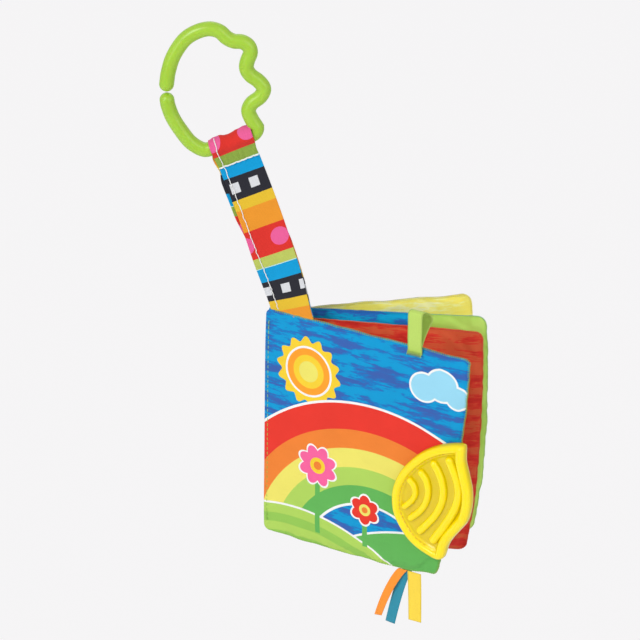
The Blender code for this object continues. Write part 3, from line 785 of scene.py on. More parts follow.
def tube_mesh(name, path, radii, sides):
    """A round tube swept along a path, its ends drawn in to a point."""
    tube = bmesh.new()
    edges, angles = unit_ring(tube, sides)
    beside = Vector((0.0, 1.0, 0.0))
    for index, (spot, radius) in enumerate(zip(path, radii)):
        other = line_direction(path, index).cross(beside).normalized()
        if index:
            edges, angles = extrude_ring(tube, edges, angles, 7)
        for vert, angle in angles.items():
            vert.co = spot + (beside * math.cos(angle) + other * math.sin(angle)) * radius
    close_up(tube, 1e-6)
    return finished_mesh(name, tube)


def link_ring():
    """The ring: a round tube with rounded ends at its gap."""
    path = ring_path()
    up = (path[0] - path[1]).normalized()
    down = (path[-1] - path[-2]).normalized()
    caps = [math.pi / 2 * step / 8 for step in range(8, 0, -1)]
    radius = RING_TUBE_RADIUS + RING_SKIN
    points = [path[0] + up * (radius * math.sin(angle)) for angle in caps] + path
    points += [path[-1] + down * (radius * math.sin(angle)) for angle in reversed(caps)]
    radii = [max(radius * math.cos(angle), radius * 0.02) for angle in caps]
    radii = radii + [radius] * len(path) + radii[::-1]
    mesh = tube_mesh("link_ring_tube", points, radii, 28)
    piece("link_ring_tube", mesh, ring_plastic(), "link_ring", "link_ring")


# Strap

def strap_directions(share):
    """Down, across and front of the strap at a share of its length."""
    first, last = STRAP_TWIST_SHARES
    turn = FRONT_COVER.turn * ease((share - first) / (last - first))
    lean = value_at(STRAP_LEANS, share, soft=True)
    level = Vector((math.cos(turn), -math.sin(turn), 0.0))
    up = Vector((0.0, 0.0, 1.0))
    down = level * math.sin(lean) - up * math.cos(lean)
    across = level * math.cos(lean) + up * math.sin(lean)
    return down, across, Vector((-math.sin(turn), -math.cos(turn), 0.0))


STRAP_STEPS = 256
STRAP_STEPS_BEYOND = 24
STRAP_MIDDLE = [RING_SEAT.copy()]
for strap_step in range(STRAP_STEPS + STRAP_STEPS_BEYOND):
    strap_down = strap_directions((strap_step + 0.5) / STRAP_STEPS)[0]
    STRAP_MIDDLE.append(STRAP_MIDDLE[-1] + strap_down * (STRAP_LENGTH / STRAP_STEPS))


def strap_point(run, side, out):
    """A point of the strap: below the tube, across from the middle, out of its middle plane."""
    if run > STRAP_SEAM_DROP:
        reach = STRAP_LENGTH - STRAP_SEAM_DROP
        slant = side * math.tan(STRAP_LEANS[-1])
        run = STRAP_SEAM_DROP + (run - STRAP_SEAM_DROP) * (reach + slant) / reach
    down, across, front = strap_directions(run / STRAP_LENGTH)
    if run <= 0.0:
        spot = RING_SEAT + down * run
    else:
        at = run / STRAP_LENGTH * STRAP_STEPS
        index = min(int(at), len(STRAP_MIDDLE) - 2)
        spot = STRAP_MIDDLE[index].lerp(STRAP_MIDDLE[index + 1], at - index)
    return spot + across * side + front * out


# Points on the ribbon's turn over the ring, on the way to the seam, below the seam and in the
# cover's seam
STRAP_TURN_STEPS = 12
STRAP_LEAD_STEPS = 8
STRAP_RUN_STEPS = 72
STRAP_TUCK_STEPS = 5


def strap_line():
    """The ribbon's middle line as (run, out, normal run, normal out, printed length)."""
    radius = RING_TUBE_RADIUS + STRAP_RING_PLAY + STRAP_PLY / 2
    out = (STRAP_GAP + STRAP_PLY) / 2
    reach = math.hypot(STRAP_SEAM_DROP, out)
    start = math.atan2(out, STRAP_SEAM_DROP) + math.acos(radius / reach)
    half = []
    for step in range(STRAP_TURN_STEPS + 1):
        angle = math.pi - (math.pi - start) * step / STRAP_TURN_STEPS
        half.append((radius * math.cos(angle), radius * math.sin(angle),
                     math.cos(angle), math.sin(angle)))
    run, away, tip_run, tip_out = half[-1]
    for step in range(1, STRAP_LEAD_STEPS):
        share = step / STRAP_LEAD_STEPS
        half.append((run + (STRAP_SEAM_DROP - run) * share, away + (out - away) * share,
                     tip_run * (1 - share), tip_out + (1 - tip_out) * share))
    seam_row = len(half)
    below = STRAP_LENGTH - STRAP_SEAM_DROP
    for step in range(STRAP_RUN_STEPS + 1):
        half.append((STRAP_SEAM_DROP + below * step / STRAP_RUN_STEPS, out, 0.0, 1.0))
    for step in range(1, STRAP_TUCK_STEPS + 1):
        half.append((STRAP_LENGTH + STRAP_TUCK * step / STRAP_TUCK_STEPS,
                     out * (1 - 0.08 * step), 0.0, 1.0))
    back = [(run, -away, nr, -na) for run, away, nr, na in half[:0:-1]]
    line = back + half
    length, printed = 0.0, [0.0]
    for before, after in zip(line, line[1:]):
        length += math.hypot(after[0] - before[0], after[1] - before[1])
        printed.append(length)
    seam = printed[len(back) + seam_row]
    return [(*spot, length - seam + STRAP_SEAM_DROP) for spot, length in zip(line, printed)]


# How far the cloth stands off the ring across the strap, in millimetres
LOOP_FOLDS = [(-11.0, 0.1), (-8.5, 0.7), (-5.5, 0.9), (-1.2, 0.0), (0.5, 0.1), (3.5, 0.8),
              (7.5, 1.4), (11.0, 1.2)]

# Where the print lies along the strap: at a length, how far it is drawn up, in millimetres, and
# how much more than that for each millimetre to the right
PRINT_PULL = [(-20.0, 2.0, 0.08), (3.0, 1.9, 0.06), (10.8, 0.35, 0.06), (12.5, 0.6, 0.05),
              (18.5, 1.2, 0.0), (25.0, 0.6, 0.0), (31.0, 0.0, 0.0), (120.0, 0.0, 0.0)]


def print_pull(length, side):
    """How far the print is drawn up at a place of the strap, in metres."""
    place = length * 1000
    pull = look_up([(where, low) for where, low, _ in PRINT_PULL], place)
    slope = look_up([(where, tilt) for where, _, tilt in PRINT_PULL], place)
    return pull / 1000 + side * slope


def loop_fold(side):
    """The loose cloth over the ring at a place across the strap, in metres."""
    return look_up(LOOP_FOLDS, side * 1000, soft=True) / 1000


def strap_gather(run, side, ply):
    """How far the cloth stands out: gathers over the ring and at the seam, soft waves below."""
    over = ease((0.004 - run) / 0.007)
    folds = 0.5 + 0.5 * math.sin(side * 2100.0 + 0.9 * math.sin(side * 500.0) + ply)
    gathers = over * (loop_fold(side) + folds * 0.00012)
    near_seam = math.exp(-((run - STRAP_SEAM_DROP + 0.0032) / 0.0026) ** 2)
    puckers = near_seam * 0.0007 * folds * (0.6 + 0.4 * math.sin(side * 700.0))
    below = ease((run - 0.016) / 0.02) * ease((STRAP_LENGTH - run) / 0.02)
    wave = 0.5 + 0.5 * noise.noise(Vector((side * 60.0, run * 45.0, ply * 3.0)))
    return gathers + puckers + wave * 0.0008 * below


def strap_spread(run, side):
    """The strap opens out over the ring's bend and where it is sewn into the book."""
    low = ease((run - 0.045) / 0.045)
    if side <= 0:
        return side * (1 + 0.17 * low)
    return side * (1 + 0.10 * ease((0.008 - run) / 0.008) + 0.07 * low)


def bend_at_hinge(made):
    """Bake the piece's place into its mesh. Nothing bends it at a hinge."""
    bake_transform(made)


def strap():
    """The ribbon, doubled over the ring, with its print mapped along it."""
    line = strap_line()

    def place(column, row):
        run, out, normal_run, normal_out, _ = line[row]
        side = STRAP_WIDTH * (column / STRAP_COLUMNS - 0.5)
        ply = 1.0 if out >= 0 else -1.0
        lift = strap_gather(run, side, ply)
        shift = 0.0
        if out < 0:
            shift = -0.0018 * ease((run - 0.001) / 0.006) * ease((0.060 - run) / 0.02)
            shift *= 1 - 0.75 * math.exp(-((run - 0.0135) / 0.004) ** 2)
        return strap_point(run + normal_run * lift, strap_spread(run, side) + shift,
                           out + normal_out * lift)

    def flat(column, row):
        side, length = STRAP_WIDTH * (column / STRAP_COLUMNS - 0.5), line[row][4]
        tilt = 5.0 * max(length - 0.008, 0.0)
        return (side, length + side * tilt + print_pull(length, side))

    shape = grid_mesh(STRAP_COLUMNS, len(line) - 1, place, flat)
    thicken(shape, RIBBON_THICKNESS)
    mesh = finished_mesh("printed_strap", shape)
    made = piece("printed_strap", mesh, strap_cloth(), None, "strap")
    line[-1][4] - line[0][4]
    bend_at_hinge(made)


def wobble(place, seed, reach):
    """A hand-guided stitch line's wander at a place along it."""
    return noise.noise(Vector((place * 320.0, seed, 0.0))) * reach


def strap_threads():
    """White topstitching: across under the ring and down the strap's left edge."""
    white = thread_finish("white_thread", WHITE)
    out = STRAP_GAP / 2 + STRAP_PLY + 0.0003
    half = STRAP_WIDTH / 2
    front = strap_directions(STRAP_SEAM_DROP / STRAP_LENGTH)[2]
    line = []
    for step in range(CROSS_SEAM_STEPS + 1):
        side = half * (2 * step / CROSS_SEAM_STEPS - 1) * 0.985
        run = STRAP_SEAM_DROP - 0.0003 - side * 0.04 + wobble(side, 3.0, 0.0003)
        line.append(strap_point(run, side, out))
    lines = stitches(line, [front] * len(line), length=0.0029, gap=0.0002, radius=0.0003)
    threads("strap_cross_stitches", lines, 0.00040, 2, white, "strap", "strap_cross_seam")
    points, ups = [], []
    for run, away, normal_run, normal_out, _ in strap_line():
        in_front = away > 0.0001 or normal_run < -0.99
        if in_front and run <= STRAP_LENGTH + STRAP_EDGE_SEAM_BEYOND:
            side = STRAP_EDGE_SEAM_INSET - half + wobble(run, 8.0, 0.0005)
            side += 0.0007 * ease((0.004 - run) / 0.008)
            lift = strap_gather(run, side, 1.0) + 0.0003
            points.append(strap_point(run + normal_run * lift, side, away + normal_out * lift))
            down, _, front = strap_directions(run / STRAP_LENGTH)
            ups.append(front * normal_out + down * normal_run)
    lines = stitches(points, ups, length=0.0027, gap=0.0003, radius=0.00022)
    threads("strap_edge_stitches", lines, 0.00024, 2, white, "strap", "strap_edge_seam")


# Leaves

def leaf_place(leaf):
    """The leaf's own frame in the model."""
    return hinge_place(leaf.pivot, leaf.turn)


def leaf_spot(leaf, x, out, depth):
    """A point of a leaf, with its sags and lifts and the sway of its spine side."""
    share = x / leaf.width
    down = depth / LEAF_HEIGHT
    rise = down * (leaf.drop * (1 - share) + leaf.fore_lift * share) - leaf.top_sag * (1 - down)
    rise += leaf.foot_curl * ease((share - 0.69) / 0.17) * ease((down - 0.75) / 0.25)
    sway = value_at(SPINE_SWAY, min(down, 0.999)) * (1 - ease(x / SPINE_SWAY_REACH))
    sag = FOOT_DROP * ease((down - 0.5) / 0.5) * (1 - share ** 2 * 0.8)
    shift = leaf.spine_shift * (1 - ease(x / SPINE_SHIFT_REACH))
    return Vector((x + sway / 1000, out + shift, rise - depth - sag))


def spine_corner(leaf, depth):
    """How far the leaf's rounded spine corners draw in at a depth."""
    top, foot = leaf.spine_corners
    for radius, away in ((top, depth), (foot, LEAF_HEIGHT - depth)):
        if away < radius:
            return radius - math.sqrt(radius ** 2 - (radius - max(away, 0.0)) ** 2)
    return 0.0


def fore_edge(leaf, depth):
    """A leaf's width at a depth below its top."""
    return leaf.width * value_at(leaf.fore_shares, depth / LEAF_HEIGHT)


def edge_distance(leaf, x, depth):
    """How far a point lies inside the leaf's three sewn edges."""
    return min(depth, LEAF_HEIGHT - depth, fore_edge(leaf, depth) - x) - EDGE_INSET


def edge_drift(leaf, x, depth):
    """The small wave of the sewn edges: across the leaf's plane, and in it."""
    at = Vector((x * 70.0, depth * 70.0, leaf.seed * 7.0))
    fine = Vector((x * 290.0, depth * 290.0, leaf.seed * 5.0))
    out = noise.noise(at) * 0.0010 + noise.noise(fine) * 0.0003
    slip = noise.noise(at + Vector((9.0, 4.0, 2.0))) * 0.0005 + noise.noise(fine) * 0.00035
    hold = ease(x / 0.02)
    return out * hold, slip * hold


def leaf_bag(leaf):
    """A leaf's two cloths, sewn together round the edges, at ten times their size."""
    spine = [-LEAF_HALF * share for share in (1.0, 0.92, 0.7, 0.38, 0.0)]
    columns, rows = len(spine) - 1 + BAG_COLUMNS, BAG_ROWS
    bag = bmesh.new()
    bmesh.ops.create_grid(bag, x_segments=columns, y_segments=rows, size=0.5)
    place = {}
    inner = LEAF_HEIGHT - 2 * EDGE_INSET
    for vert in bag.verts:
        column = round((vert.co.x + 0.5) * columns)
        row = round((0.5 - vert.co.y) * rows)
        turn = 2 * math.pi * row / rows
        depth = inner * (row / rows - 0.7 * math.sin(turn) / (2 * math.pi)) + EDGE_INSET
        reach = fore_edge(leaf, depth) - EDGE_INSET
        if column < len(spine):
            x = spine[column]
        else:
            x = reach * (column - len(spine) + 1) / BAG_COLUMNS
        near = leaf.corner
        a = max(0.0, (x - reach + near) / near)
        b = max(0.0, (abs(depth - LEAF_HEIGHT / 2) - inner / 2 + near) / near)
        if a and b:
            down = 1.0 if depth > LEAF_HEIGHT / 2 else -1.0
            x = reach - near + near * a * math.sqrt(1 - b * b / 2)
            depth = LEAF_HEIGHT / 2 + down * (inner / 2 - near
                                              + near * b * math.sqrt(1 - a * a / 2))
        x += spine_corner(leaf, depth) * (1 - ease(x / 0.02))
        place[(round(vert.co.x, 5), round(vert.co.y, 5))] = (x, depth)
    side = bag.faces.layers.int.new("side")
    for face in bag.faces:
        face[side] = 1
    made = bmesh.ops.extrude_face_region(bag, geom=bag.faces[:])["geom"]
    front = {item for item in made if isinstance(item, bmesh.types.BMVert)}
    lay = bag.loops.layers.uv.new("cloth")
    for face in bag.faces:
        ahead = sum(vert in front for vert in face.verts)
        face[side] = -1 if ahead == len(face.verts) else (1 if ahead == 0 else 0)
        for loop in face.loops:
            co = loop.vert.co
            x, depth = place[(round(co.x, 5), round(co.y, 5))]
            loop[lay].uv = (x, depth)
    for vert in bag.verts:
        x, depth = place[(round(vert.co.x, 5), round(vert.co.y, 5))]
        rise = ease(edge_distance(leaf, x, depth) / LEAF_CROWN_REACH)
        thick = CLOTH_THICKNESS * 1.03 + (LEAF_HALF - CLOTH_THICKNESS) * rise ** 0.75
        if x < 0:
            thick *= math.sqrt(max(0.0, 1 - (x / LEAF_HALF) ** 2))
        out, slip = edge_drift(leaf, x, depth)
        near = 1 - ease(edge_distance(leaf, x, depth) / 0.022)
        y = (-thick if vert in front else thick) + out * near
        vert.co = Vector((x + slip * near, y, -depth - slip * near)) * SWELL_SCALE
    bmesh.ops.remove_doubles(bag, verts=bag.verts[:], dist=1e-4)
    bmesh.ops.recalc_face_normals(bag, faces=bag.faces[:])
    return finished_mesh(f"{leaf.body}_bag", bag)


def swell(mesh, leaf):
    """Swell the bag with Blender's cloth, pinned at its seams, then hold each point close."""
    bag = placed(mesh.name, mesh)
    sewn = bag.vertex_groups.new(name="sewn")
    rest = [vert.co.copy() for vert in mesh.vertices]
    for vert in mesh.vertices:
        x, depth = vert.co.x / SWELL_SCALE, -vert.co.z / SWELL_SCALE
        inside = edge_distance(leaf, x, depth)
        if inside < 0.0011 or x < 0.0012:
            sewn.add([vert.index], 1.0, "REPLACE")
    cloth = bag.modifiers.new("swell", "CLOTH")
    setup = cloth.settings
    setup.quality = 5
    setup.mass = 0.2
    setup.air_damping = 4.0
    setup.tension_stiffness = 18.0
    setup.compression_stiffness = 18.0
    setup.shear_stiffness = 6.0
    setup.bending_stiffness = 0.35
    setup.vertex_group_mass = "sewn"
    setup.use_pressure = True
    setup.uniform_pressure_force = 3.0
    setup.shrink_min = -0.018
    setup.effector_weights.gravity = 0.0
    cloth.collision_settings.use_collision = False
    cloth.point_cache.frame_start = 1
    cloth.point_cache.frame_end = SWELL_FRAMES
    scene = bpy.context.scene
    for step in range(SWELL_FRAMES):
        scene.frame_set(step + 1)
    graph = bpy.context.evaluated_depsgraph_get()
    moved = bpy.data.meshes.new_from_object(bag.evaluated_get(graph), depsgraph=graph)
    bpy.data.objects.remove(bag)
    scene.frame_set(1)
    for vert, start in zip(moved.vertices, rest):
        step = vert.co - start
        room = (0.00025 + 0.0010 * ease(start.x / SWELL_SCALE / 0.05)) * SWELL_SCALE
        if step.length > room:
            step *= room / step.length
        vert.co = start + step
    return moved


def leaf_cloths(leaf, front, back):
    """The leaf's two padded cloths."""
    bag = leaf_bag(leaf)
    bag = swell(bag, leaf)
    bag.transform(Matrix.Scale(1 / SWELL_SCALE, 4))
    for vert in bag.vertices:
        vert.co = leaf_spot(leaf, vert.co.x, vert.co.y, -vert.co.z)
    for sign, name, material in ((-1, leaf.front, front), (1, leaf.back, back)):
        shape = bmesh.new()
        shape.from_mesh(bag)
        side = shape.faces.layers.int["side"]
        gone = [face for face in shape.faces if face[side] != sign]
        bmesh.ops.delete(shape, geom=gone, context="FACES")
        thicken(shape, CLOTH_THICKNESS)
        shape.transform(leaf_place(leaf))
        mesh = finished_mesh(f"{leaf.body}_{name}_cloth", shape)
        node = f"{leaf.body}_{name}"
        made = piece(f"{node}_cloth", mesh, material, leaf.body, node)


def edge_line(leaf):
    """The line of the leaf's sewn edge: top, fore edge and bottom, with round corners."""
    ends = []
    for top in (True, False):
        end = 0.0 if top else LEAF_HEIGHT
        start_depth = leaf.corner if top else LEAF_HEIGHT - leaf.corner
        corner = Vector((fore_edge(leaf, end), end))
        start = Vector((fore_edge(leaf, start_depth), start_depth)) - corner
        finish = Vector((-leaf.corner, 0.0))
        arc = []
        for step in range(CORNER_STEPS + 1):
            angle = math.pi / 2 * step / CORNER_STEPS
            arc.append(corner + start * (1 - math.sin(angle)) + finish * (1 - math.cos(angle)))
        ends.append(arc)
    points = [Vector((EDGE_START, 0.0))] + ends[0][::-1]
    for step in range(1, EDGE_STEPS):
        depth = leaf.corner + (LEAF_HEIGHT - 2 * leaf.corner) * step / EDGE_STEPS
        points.append(Vector((fore_edge(leaf, depth), depth)))
    points += ends[1] + [Vector((EDGE_START, LEAF_HEIGHT))]
    return [Vector((point.x, point.y, 0.0)) for point in points]


def edge_threads(leaf, material):
    """Overlocking: one thread wound round the leaf's edge."""
    path = even_path(edge_line(leaf), 0.00011)
    middle = Vector((leaf.width / 2, LEAF_HEIGHT / 2, 0.0))
    wound = []
    place = leaf_place(leaf)
    for index, spot in enumerate(path):
        along = line_direction(path, index)
        inward = Vector((-along.y, along.x, 0.0))
        if inward.dot(middle - spot) < 0:
            inward.negate()
        out, slip = edge_drift(leaf, spot.x, spot.y)
        angle = index * 2 * math.pi / 10
        at = spot + inward * (0.0003 + EDGE_INSET + math.cos(angle) * 0.0005)
        lean = math.sin(angle) * 0.0006
        wound.append(place @ leaf_spot(leaf, at.x + slip, lean + out, at.y + slip))
    threads(f"{leaf.body}_overlock", [wound], 0.00017, 1, material, leaf.body,
            f"{leaf.body}_edge_thread")


def spine_threads(material):
    """The topstitch down the front cover, close to its spine."""
    place = leaf_place(FRONT_COVER)
    points = []
    for step in range(SPINE_SEAM_STEPS + 1):
        depth = SPINE_SEAM_TOP + SPINE_SEAM_RUN * step / SPINE_SEAM_STEPS
        points.append(place @ leaf_spot(FRONT_COVER, 0.0012, -LEAF_HALF - 0.0001, depth))
    up = place.to_3x3() @ Vector((0.0, -1.0, 0.0))
    lines = stitches(points, [up] * len(points), length=0.0022, gap=0.0007, radius=0.0002)
    threads("spine_stitches", lines, 0.0002, 2, material, "front_cover", "spine_seam")


# Teether

TEETHER_WIDTH = 0.0468
TEETHER_HEIGHT = 0.0712
TEETHER_THICKNESS = 0.0055
TEETHER_POCKET = 0.0028
TEETHER_FLOOR = TEETHER_THICKNESS - TEETHER_POCKET
TEETHER_SEAM_INSET = 0.0050
TEETHER_SEAM_RISE = 0.0039

# How many points of the outline its thread stays away from the lower and the upper tip
TEETHER_SEAM_ENDS = (10, 14)
TEETHER_TIP_SHARES = ((0.905, 0.004), (0.605, 1.014))
TEETHER_RIGHT_SHARES = [
    (0.906, 0.060), (0.906, 0.136), (0.940, 0.224), (0.985, 0.338), (0.998, 0.420),
    (0.990, 0.520), (0.948, 0.628), (0.857, 0.720), (0.757, 0.819), (0.712, 0.885),
    (0.690, 0.945), (0.665, 0.990),
]
TEETHER_LEFT_SHARES = [
    (0.526, 1.005), (0.345, 0.962), (0.195, 0.893), (0.063, 0.775), (0.012, 0.687),
    (0.0, 0.592), (0.019, 0.491), (0.096, 0.368), (0.214, 0.256), (0.386, 0.142),
    (0.598, 0.056), (0.801, 0.008),
]

# Each rib's width and its middle line, as shares of the teether's width and height
TEETHER_RIBS = [
    (0.0036, [(0.232, 0.410), (0.278, 0.440), (0.300, 0.480), (0.296, 0.522), (0.255, 0.575),
              (0.174, 0.638)]),
    (0.0040, [(0.371, 0.322), (0.424, 0.362), (0.456, 0.425), (0.455, 0.500), (0.420, 0.578),
              (0.348, 0.654), (0.251, 0.720)]),
    (0.0044, [(0.525, 0.222), (0.582, 0.275), (0.630, 0.352), (0.648, 0.438), (0.626, 0.532),
              (0.558, 0.635), (0.464, 0.726), (0.369, 0.808)]),
    (0.0049, [(0.715, 0.165), (0.767, 0.232), (0.815, 0.312), (0.836, 0.400), (0.817, 0.496),
              (0.753, 0.603), (0.654, 0.726), (0.538, 0.851)]),
]


def teether_point(shares):
    """A point of the teether's outline from its shares of width and height."""
    return Vector((shares[0] * TEETHER_WIDTH, 0.0, -shares[1] * TEETHER_HEIGHT))


def with_neighbours(outline):
    """Each point of a closed outline between the ones before and after it."""
    return zip(outline[-1:] + outline[:-1], outline, outline[1:] + outline[:1])


def teether_outline():
    """The closed outline, clockwise from the upper tip, at even distances."""
    upper, lower = [teether_point(shares) for shares in TEETHER_TIP_SHARES]
    right = [teether_point(shares) for shares in TEETHER_RIGHT_SHARES]
    left = [teether_point(shares) for shares in TEETHER_LEFT_SHARES]
    first = even_path(smooth_path([upper] + right + [lower], 6), 0.0009)
    last = even_path(smooth_path([lower] + left + [upper], 6), 0.0009)
    outline = first[:-1] + last[:-1]
    for _ in range(3):
        outline = [before * 0.25 + here * 0.5 + after * 0.25
                   for before, here, after in with_neighbours(outline)]
    return outline, len(first) - 1


def distance_to(point, outline):
    """The least distance from a point to a closed outline in the XZ plane."""
    least = math.inf
    for start, end in zip(outline, outline[1:] + outline[:1]):
        run = end - start
        share = min(max((point - start).dot(run) / run.length_squared, 0.0), 1.0)
        least = min(least, (point - start - run * share).length)
    return least


def inset_line(outline, inset):
    """The outline moved inwards; a point that a tip would cross takes its neighbour's place."""
    if not inset:
        return [spot.copy() for spot in outline]
    moved = []
    for before, here, after in with_neighbours(outline):
        along = (here - before).normalized() + (after - here).normalized()
        along.normalize()
        spot = here + Vector((along.z, 0.0, -along.x)) * inset
        moved.append(spot if distance_to(spot, outline) > inset * 0.97 else None)
    count = len(moved)
    kept = list(moved)
    for index in range(count):
        if moved[index] is None:
            back = next(step for step in range(1, count) if moved[index - step] is not None)
            fore = next(step for step in range(1, count)
                        if moved[(index + step) % count] is not None)
            share = back / (back + fore)
            kept[index] = moved[index - back].lerp(moved[(index + fore) % count], share)
    return kept


def teether_body():
    """Rim, stitch groove and sunk field: one outline drawn in and in, level by level.
    Each level has its inset, its rise on the stitched left side and that on the right."""
    outline, right = teether_outline()
    full, floor = TEETHER_THICKNESS, TEETHER_FLOOR
    levels = [
        (0.0012, 0.0, 0.0), (0.0004, 0.0004, 0.0004), (0.0, 0.0012, 0.0012),
        (0.0001, 0.0028, 0.0028), (0.0005, 0.0040, 0.0040), (0.0011, 0.0048, 0.0048),
        (0.0019, 0.0053, 0.0053), (0.0028, full, full), (0.0036, 0.0054, 0.0055),
        (0.0042, 0.0050, 0.0053), (0.0047, 0.0041, 0.0049), (0.0051, 0.0037, 0.0042),
        (0.0055, 0.0037, 0.0035), (0.0059, 0.0033, 0.0030), (0.0063, 0.0029, floor),
        (0.0068, floor, floor), (0.0074, floor, floor),
    ]
    shape = bmesh.new()
    verts = [shape.verts.new(spot) for spot in inset_line(outline, levels[0][0])]
    edges = list(shape.faces.new(verts).edges)
    order = {vert: index for index, vert in enumerate(verts)}
    for inset, seam_rise, smooth_rise in levels:
        spots = inset_line(outline, inset)
        edges, order = extrude_ring(shape, edges, order, 8)
        for vert, index in order.items():
            spot = spots[index]
            left = index > right + 3 and index < len(outline) - 3
            lift = seam_rise if left else smooth_rise
            vert.co = Vector((spot.x + index * 1e-7, -lift, spot.z + index * 1e-7))
    ring = sorted(order, key=lambda vert: order[vert])
    shape.faces.new(ring)
    bmesh.ops.remove_doubles(shape, verts=shape.verts[:], dist=0.00002)
    bmesh.ops.triangulate(shape, faces=[face for face in shape.faces if len(face.verts) > 4])
    return shape


def rib_bar(shape, width, shares):
    """One curved rib: a rounded bar along its line, with round ends, on the field."""
    line = even_path(smooth_path([teether_point(share) for share in shares], 8), 0.0008)
    half = width / 2
    edges, ring = unit_ring(shape, 20)
    caps = [step / 6 for step in range(6)]
    stations = [(0, 1 - tip, -1.0) for tip in caps]
    stations += [(index, 0.0, 1.0) for index in range(len(line))]
    stations += [(len(line) - 1, 1 - tip, 1.0) for tip in reversed(caps)]
    for number, (index, beyond, way) in enumerate(stations):
        along = line_direction(line, index)
        across = Vector((-along.z, 0.0, along.x))
        spot = line[index] + along * (beyond * half * way)
        if number:
            edges, ring = extrude_ring(shape, edges, ring, 8)
        size = max(math.sqrt(max(0.0, 1 - beyond ** 2)), 0.02)
        for vert, angle in ring.items():
            wide = math.cos(angle) * half * size
            tall = math.sin(angle) * (TEETHER_POCKET - 0.0002) * size
            rise = TEETHER_FLOOR + tall - 1e-6 * angle
            vert.co = spot + across * wide + Vector((0.0, -rise, 0.0))


def teether():
    """The ribbed teether and the thread in the groove along its left side."""
    outline, right = teether_outline()
    shape = teether_body()
    for width, shares in TEETHER_RIBS:
        rib_bar(shape, width, shares)
    close_up(shape, 0.000005)
    for face in shape.faces:
        if face.normal.y > 0.95:
            # The flat back keeps crisp edges
            for edge in face.edges:
                edge.smooth = False
    # Each point's height above the sunk field, which the plastic's colour uses to paint shade
    # into the field.
    rise = shape.verts.layers.float.new("rise")
    for vert in shape.verts:
        vert[rise] = (-vert.co.y - TEETHER_FLOOR) / TEETHER_POCKET
    place = hinge_place("teether_lift", FRONT_COVER.turn)
    shape.transform(place)
    mesh = finished_mesh("ribbed_teether_body", shape)
    piece("ribbed_teether_body", mesh, teether_plastic(), "teether", "ribbed_teether")
    low_end, top_end = TEETHER_SEAM_ENDS
    seam = inset_line(outline, TEETHER_SEAM_INSET)[right + low_end:len(outline) - top_end]
    out = Vector((0.0, -TEETHER_SEAM_RISE, 0.0))
    points = [place @ (spot + out) for spot in seam]
    up = place.to_3x3() @ Vector((0.0, -1.0, 0.0))
    lines = stitches(points, [up] * len(points), length=0.0017, gap=0.0009, radius=0.00022)
    threads("teether_stitches", lines, 0.00022, 2,
            thread_finish("yellow_thread", paint(232, 190, 30)), "teether", "teether_seam")


# Tag loop and tails

TAG_WIDTH = 0.0080
TAG_PLY = 0.0005
TAG_SEAT = 0.0011
TAG_RISE = 0.0200
TAG_DEPTH = 0.0080
TAG_TACK_DROP = 0.0035
TAG_TACK_OUT = 0.00178
TAG_TACK_STEPS = 28
TAG_SKEW = 0.0015
TAG_LOOP_SHARES = [
    (-0.12, 0.08), (0.14, 0.24), (0.50, 0.43), (0.80, 0.56), (0.88, 0.66), (0.74, 0.78),
    (0.40, 0.92), (0.02, 1.0), (-0.24, 0.99), (-0.34, 0.90), (-0.33, 0.60), (-0.32, 0.25),
]
TAIL_WIDTH = 0.0080
TAIL_LENGTH = 0.0310
TAIL_TOP = 0.0011
TAIL_STEPS = 40

# How far the yellow and orange tails lie before the seam's middle, and the teal one behind it
TAIL_LAYER = 0.0004


def ribbon(name, line, beside, width, material, body, *nodes):
    """A ribbon along a line of points; beside gives its width direction at each."""
    lengths = lengths_along(line)

    def place(column, row):
        return line[row] + beside[row] * (width[row] * (column / RIBBON_COLUMNS - 0.5))

    def flat(column, row):
        return (width[row] * (column / RIBBON_COLUMNS - 0.5), lengths[row])

    shape = grid_mesh(RIBBON_COLUMNS, len(line) - 1, place, flat)
    thicken(shape, RIBBON_THICKNESS)
    return piece(name, finished_mesh(name, shape), material, body, *nodes)


def tag_loop(thread):
    """The folded green ribbon on the cover's top edge, and the bar tack that holds it."""
    place = hinge_place("tag_fold", FRONT_COVER.turn)
    seat = -(TAG_SEAT + TAG_PLY / 2)
    front = seat - TAG_PLY - 0.0003
    foot = -TAG_TACK_DROP
    points = [Vector((seat, foot)), Vector((seat, 0.0))]
    points += [Vector((out * TAG_DEPTH, up * TAG_RISE)) for out, up in TAG_LOOP_SHARES]
    points += [Vector((front, 0.0)), Vector((front, foot))]
    line, beside = [], []
    for spot in smooth_path(points, 6):
        shift = TAG_SKEW * max(spot.y, 0.0) / TAG_RISE * (spot.x / TAG_DEPTH + 0.5)
        middle = Vector((shift + TAG_WIDTH / 2, spot.x + TAG_SEAT, spot.y + TAG_TACK_DROP))
        line.append(place @ middle)
        beside.append(place.to_3x3() @ Vector((1.0, 0.0, 0.0)))
    made = ribbon("green_tag_loop", line, beside, [TAG_WIDTH] * len(line),
                  ribbon_cloth("green_ribbon", TAG_GREEN, 0.3), None, "tag_loop")
    bend_at_hinge(made)
    lines = []
    for row in range(3):
        zigzag = []
        for step in range(TAG_TACK_STEPS + 1):
            x = TAG_WIDTH * (step / TAG_TACK_STEPS)
            y = -TAG_TACK_OUT - 0.00012 * (row % 2)
            z = 0.0001 + (0.0011 if step % 2 else -0.0011)
            zigzag.append(place @ Vector((x, y, z + row * 0.0002)))
        lines.append(zigzag)
    threads("tag_bar_stitches", lines, 0.00016, 1, thread, "front_cover", "tag_bar_tack")


